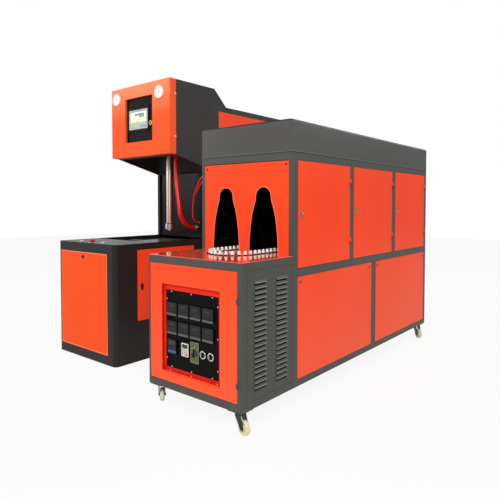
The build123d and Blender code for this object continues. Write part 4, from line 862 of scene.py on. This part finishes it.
# gauges: dial, ticks, needle, hub and glass rim; a bar is start, stop, half widths there, and its two heights
gauge = {"readings": (((bedLeft + 0.077, 1.982), 0.55), ((bedRight - 0.11, 1.974), 0.4)), "proud": 0.009,
         "dial": 0.0446, "first": 225, "sweep": 270, "ticks": 41, "long": (0.0052, 0.00055),
         "short": (0.003, 0.0003), "fromEdge": 0.0035,
         "needle": (-0.012, 0.034, 0.0016, 0.0003, 0.0016, 0.0022),
         "hub": [(0.0042, 0.0005), (0.0042, 0.0022), (0.003, 0.0028)],
         "rim": [(0.0508, -0.0006), (0.0508, 0.0028), (0.0496, 0.0042), (0.0462, 0.0042), (0.0448, 0.0026),
                 (0.0446, -0.0006)]}


def dialBar(share, bar, at):
    # a thin bar along one direction of the dial, tapering from one radius to another
    start, stop, halfStart, halfStop, low, high = bar
    turn = math.radians(gauge["first"] - gauge["sweep"] * share)
    along = np.array([math.cos(turn), math.sin(turn)])
    side = np.array([-along[1], along[0]])
    base = np.array([along * stop - side * halfStop, along * stop + side * halfStop,
                     along * start + side * halfStart, along * start - side * halfStart])
    rings = np.stack([np.concatenate([base, np.full((4, 1), h)], 1) for h in (low, high)])
    return skinRings(laid(rings, "-y", at))


dials, rims, ticks, needles = [], [], [], []
for (x, z), reading in gauge["readings"]:
    at = (x, headY - gauge["proud"], z)
    edge = gauge["dial"]
    dials.append(turned([(edge, 0), (edge, 0.0004), (edge - 0.0003, 0.0006)], 40, at, "-y"))
    rims.append(turned(gauge["rim"], 44, (x, at[1] - 0.0018, z), "-y", True))
    for k in range(gauge["ticks"]):
        long, half = gauge["short"] if k % 4 else gauge["long"]
        outer = edge - gauge["fromEdge"]
        ticks.append(dialBar(k / (gauge["ticks"] - 1), (outer - long, outer, half, half, 0.0005, 0.0008), at))
    needles += [dialBar(reading, gauge["needle"], at), turned(gauge["hub"], 14, at, "-y")]
piece("gaugeDials", dials, "dialWhite", "head_door_body")
piece("gaugeRims", rims, "dialRim", "head_door_body", True)
piece("gaugeTicks", ticks, "printBlack", "head_door_body")
piece("gaugeNeedles", needles, "printBlack", "head_door_body")
print("head dressed")

# bed: a narrow rounded rim on the front panel's face, in pale orange as painted highlight along its edge
bedRim = {"box": (bedLeft + 0.044, bedRight - 0.091, 0.0695, 0.7722),
          "profile": [(0, -0.0002), (0, 0.0003), (-0.0012, 0.0006), (-0.0036, 0.0003), (-0.004, -0.0002)]}
piece("bedFrontRim", outlined(bedRim["box"], bedRim["profile"], bedY, 0.003, True), "rimEnamel",
      "bed_front_panel_body", True)

# column: a dark plate on its front wall, between the side walls: painted shade under the head, tinted red as
# painted reflection
columnShade = {"box": (bedLeft + 0.004, bedRight - 0.004, 0.8405, 1.386), "sunk": 0.0004,
          "plate": (0.0012, 0.0006, 0.003)}
piece("columnShadePlate", plaque(columnShade["box"], columnY + columnShade["sunk"], *columnShade["plate"]), "liningEnamel")

# deck: a white ring round each button: its node, outer radius and hole
deckRings = {"startRing1": ("start_button_1", 0.0206, 0.01601),
             "startRing2": ("start_button_2", 0.0206, 0.01601),
             "stopRing": ("emergency_stop", 0.0265, 0.0171)}
for name, (node, outer, hole) in deckRings.items():
    x, y = np.add(*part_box(node))[:2] / 2
    profile = [(outer, 0), (outer, 0.0012), (outer - 0.001, 0.002), (hole + 0.0006, 0.002), (hole, 0.0014),
               (hole, 0)]
    piece(name, turned(profile, 32, (x, y, 0.84), "z", True), "buttonWhite", smooth=True)

# painted shade in the gaps: a narrow dark band round each door and panel, in its gap
gapShade = {"width": 0.0011, "proud": 0.0003, "deep": 0.004, "clear": 0.0002}


def gapBand(box, face, facing, gap=gapShade["clear"]):
    # a dark band that fills the gap just outside a panel's edge, as painted shade
    outer = gap + gapShade["width"]
    profile = [(outer, -gapShade["deep"]), (outer, gapShade["proud"]), (gap, gapShade["proud"]), (gap, -gapShade["deep"])]
    return outlined(box, profile, face, 0.001, True, 1, facing)


def edges(node, level=1):
    # a node's start, end, foot and top: along y on a right side, along x (level 0) on a front
    low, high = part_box(node)
    return low[level], high[level], low[2], high[2]


gaps = [((frontY + start + 0.0015, frontY + stop - 0.0015, *edges("oven_door_%d" % number)[2:]), rightX, "x")
        for number, (start, stop) in enumerate(ovenDoors, start=1)]
gaps.append((edges("louvre_panel"), rightX, "x"))
gaps += [((frontY + start + 0.0003, frontY + stop - 0.0003, 0.1603, 0.7227), rightX, "x")
         for start, stop in lowPanels]
gaps += [((bedY + 0.1905, bedY + 0.7475, 0.2895, 0.7955), bedRight, "x"),
         ((bedLeft + 0.0425, bedRight - 0.0895, 0.0655, 0.7735), bedY, "-y"),
         ((leftX + 0.0135, rightX - 0.0275, 0.1615, edges("control_door")[3]), frontY, "-y"),
         (edges("arch_panel", 0), ovenY + 0.0002, "-y", 0.0)]
piece("panelGapShade", [gapBand(*gap) for gap in gaps], "sealRubber")

# arch edges: a thin rolled bead along each arch, from the panel's own outline, in pale orange as painted highlight
arch = {"fromMiddle": 0.1395, "halfWide": 0.108, "under": 1.22, "foot": 0.8, "bead": 0.0013}


def archPath(centre):
    # the corners of one arch on the panel's front, by their direction from a point low in the arch
    at = meshPoints(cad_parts["arch_panel"].data)
    front = at[at[:, 1] < at[:, 1].min() + 0.0002]
    near = front[(np.abs(front[:, 0] - centre) < arch["halfWide"]) & (front[:, 2] < arch["under"])]
    flat = np.unique(np.round(near[:, [0, 2]], 5), axis=0)
    return flat[np.argsort(np.arctan2(flat[:, 1] - arch["foot"], flat[:, 0] - centre))]


def archBead(centre):
    # a flattened round of six points, set square to the path at each of its points
    path = archPath(centre)
    along = np.gradient(path, axis=0)
    along = along / np.linalg.norm(along, axis=1)[:, None]
    inward = np.stack([-along[:, 1], along[:, 0]], 1)
    rings = []
    for a in np.linspace(0, 2 * math.pi, 7)[:-1]:
        place = path + inward * (math.cos(a) * arch["bead"])
        depth = ovenY - math.sin(a) * arch["bead"] * 0.7
        rings.append(np.stack([place[:, 0], np.full(len(path), depth), place[:, 1]], 1))
    return skinRings(np.swapaxes(np.array(rings), 0, 1))


beads = [archBead(midX - arch["fromMiddle"]), archBead(midX + arch["fromMiddle"])]
piece("archBeads", beads, "edgeEnamel", smooth=True)

# oven: a blackened liner inside its left wall, from the arch panel to the first reflector
liner = {"box": (ovenY + 0.004, frontY + 0.66, 0.8425, 1.352), "fromLeft": 0.0262, "plate": (0.001, 0.0003, 0.004)}
piece("ovenLiner", plaque(liner["box"], leftX + liner["fromLeft"], *liner["plate"], facing="x"), "sootedSheet")

# head: two domed bolts at the collar's rear edge, in pale pink as painted highlight on its hinges, and a plugged
# air fitting beside the piston
collarBolt = {"behind": 0.0565, "heights": (1.634, 1.955),
              "profile": [(0.0105, 0), (0.0105, 0.0012), (0.0088, 0.0036), (0.0052, 0.0052), (0.0012, 0.0058)]}
piece("collarBolts", [turned(collarBolt["profile"], 18, (bedRight, headY + collarBolt["behind"], z), "x")
                      for z in collarBolt["heights"]], "hingeCapNylon", smooth=True)
fitting = {"fromMiddle": -0.054, "profile": [(0.006, 1.438), (0.0085, 1.441), (0.0085, 1.462), (0.0115, 1.464),
                                             (0.0115, 1.482), (0.009, 1.484), (0.009, 1.5995)]}
at = (bedMid + fitting["fromMiddle"], blowY, 0)
piece("airFitting", turned(fitting["profile"], 18, at), "hoseOld", smooth=True)

# screws on the sheet-metal panels
sheetScrew = {"size": (0.0068, 0.003), "inset": 0.03, "low": (0.19, 0.693), "oven": (0.8, 1.327),
              "arch": ((-0.2935, 1.329), (0.2935, 1.335)), "table": (0.014, 0.8421),
              "tableSize": (0.0045, 0.0022)}


def sideScrews(panels, heights, face, facing):
    # one screw near each end of every panel, at each height
    inset = sheetScrew["inset"]
    return [screwHead((face, frontY + y, z), facing, *sheetScrew["size"])
            for start, stop in panels for y in (start + inset, stop - inset) for z in heights]


screws = [screwHead((midX + x, ovenY, z), "-y", *sheetScrew["size"]) for x, z in sheetScrew["arch"]]
screws += sideScrews(lowPanels, sheetScrew["low"][1:], rightX, "x")
screws += sideScrews(lowPanels, sheetScrew["low"], leftX, "-x")
screws += sideScrews(ovenDoors, sheetScrew["oven"], leftX, "-x")
inset, top = sheetScrew["table"]
screws.append(screwHead((rightX - inset, frontY + inset, top), "z", *sheetScrew["tableSize"]))
piece("sheetScrews", screws, "knobBlack", smooth=True)
print("panels screwed")

floorHalf = 14.0
floor = bpy.data.meshes.new("floor")
floor.from_pydata([(x * floorHalf, y * floorHalf, 0) for x, y in ((-1, -1), (1, -1), (1, 1), (-1, 1))], [],
                  [(0, 1, 2, 3)])
placed("floor", floor)


def paleGround(name, share=0.9):
    # white to the camera and in gloss, with the object's shadow kept faintly
    shade = Shade(name, Roughness=0.9, Base_Color=(0.82, 0.82, 0.82, 1.0))
    rays = (shade.ray("Camera") + shade.ray("Glossy") + shade.ray("Transmission")) * share
    light = shade.add("Emission", {"Color": (1, 1, 1, 1), "Strength": 1.0})
    plain = Wire(shade, shade.surface.outputs[0])
    both = shade.add("MixShader", {0: rays.sums("MINIMUM", rays, share), 1: plain, 2: light})
    shade.links.new(both.socket, shade.nodes["Material Output"].inputs["Surface"])
    return shade.owner


floor.materials.append(paleGround("paleFloor"))

# light: an even sky, white to the camera and through glass, and three soft lamps, each with its place, target,
# size and power
studio = {"sky": 0.42, "lamps": {
    "keyLamp": ((3.4, -4.2, 3.6), (0.2, 0, 0.9), (3.0, 2.4), 195.0),
    "fillLamp": ((-4.2, -3.6, 2.6), (-0.4, 0, 1.0), (3.0, 2.6), 90.0),
    "backLamp": ((2.8, 4.4, 3.8), (0, 0, 1.0), (3.0, 2.4), 84.0)}}
world = bpy.data.worlds.new("studio")
bpy.context.scene.world = world
sky = Shade("studio", world, Color=(1, 1, 1, 1))
direct = sky.ray("Camera")
seen = direct.sums("MAXIMUM", direct, sky.ray("Transmission"))
sky.feed(Strength=sky.add("MapRange", {"Value": seen, "To Min": studio["sky"], "To Max": 1.0}))


def softLamp(name, place, target, size, power):
    # a rectangular lamp that shines from its place at its target
    lamp = bpy.data.lights.new(name, "AREA")
    lamp.shape = "RECTANGLE"
    lamp.size, lamp.size_y = size
    lamp.energy = power
    stand = placed(name, lamp)
    stand.location = place
    stand.rotation_euler = (Vector(target) - Vector(place)).to_track_quat("-Z", "Y").to_euler()


for name, lamp in studio["lamps"].items():
    softLamp(name, *lamp)
bpy.context.scene.view_settings.view_transform = "Standard"
print("stage and light set")
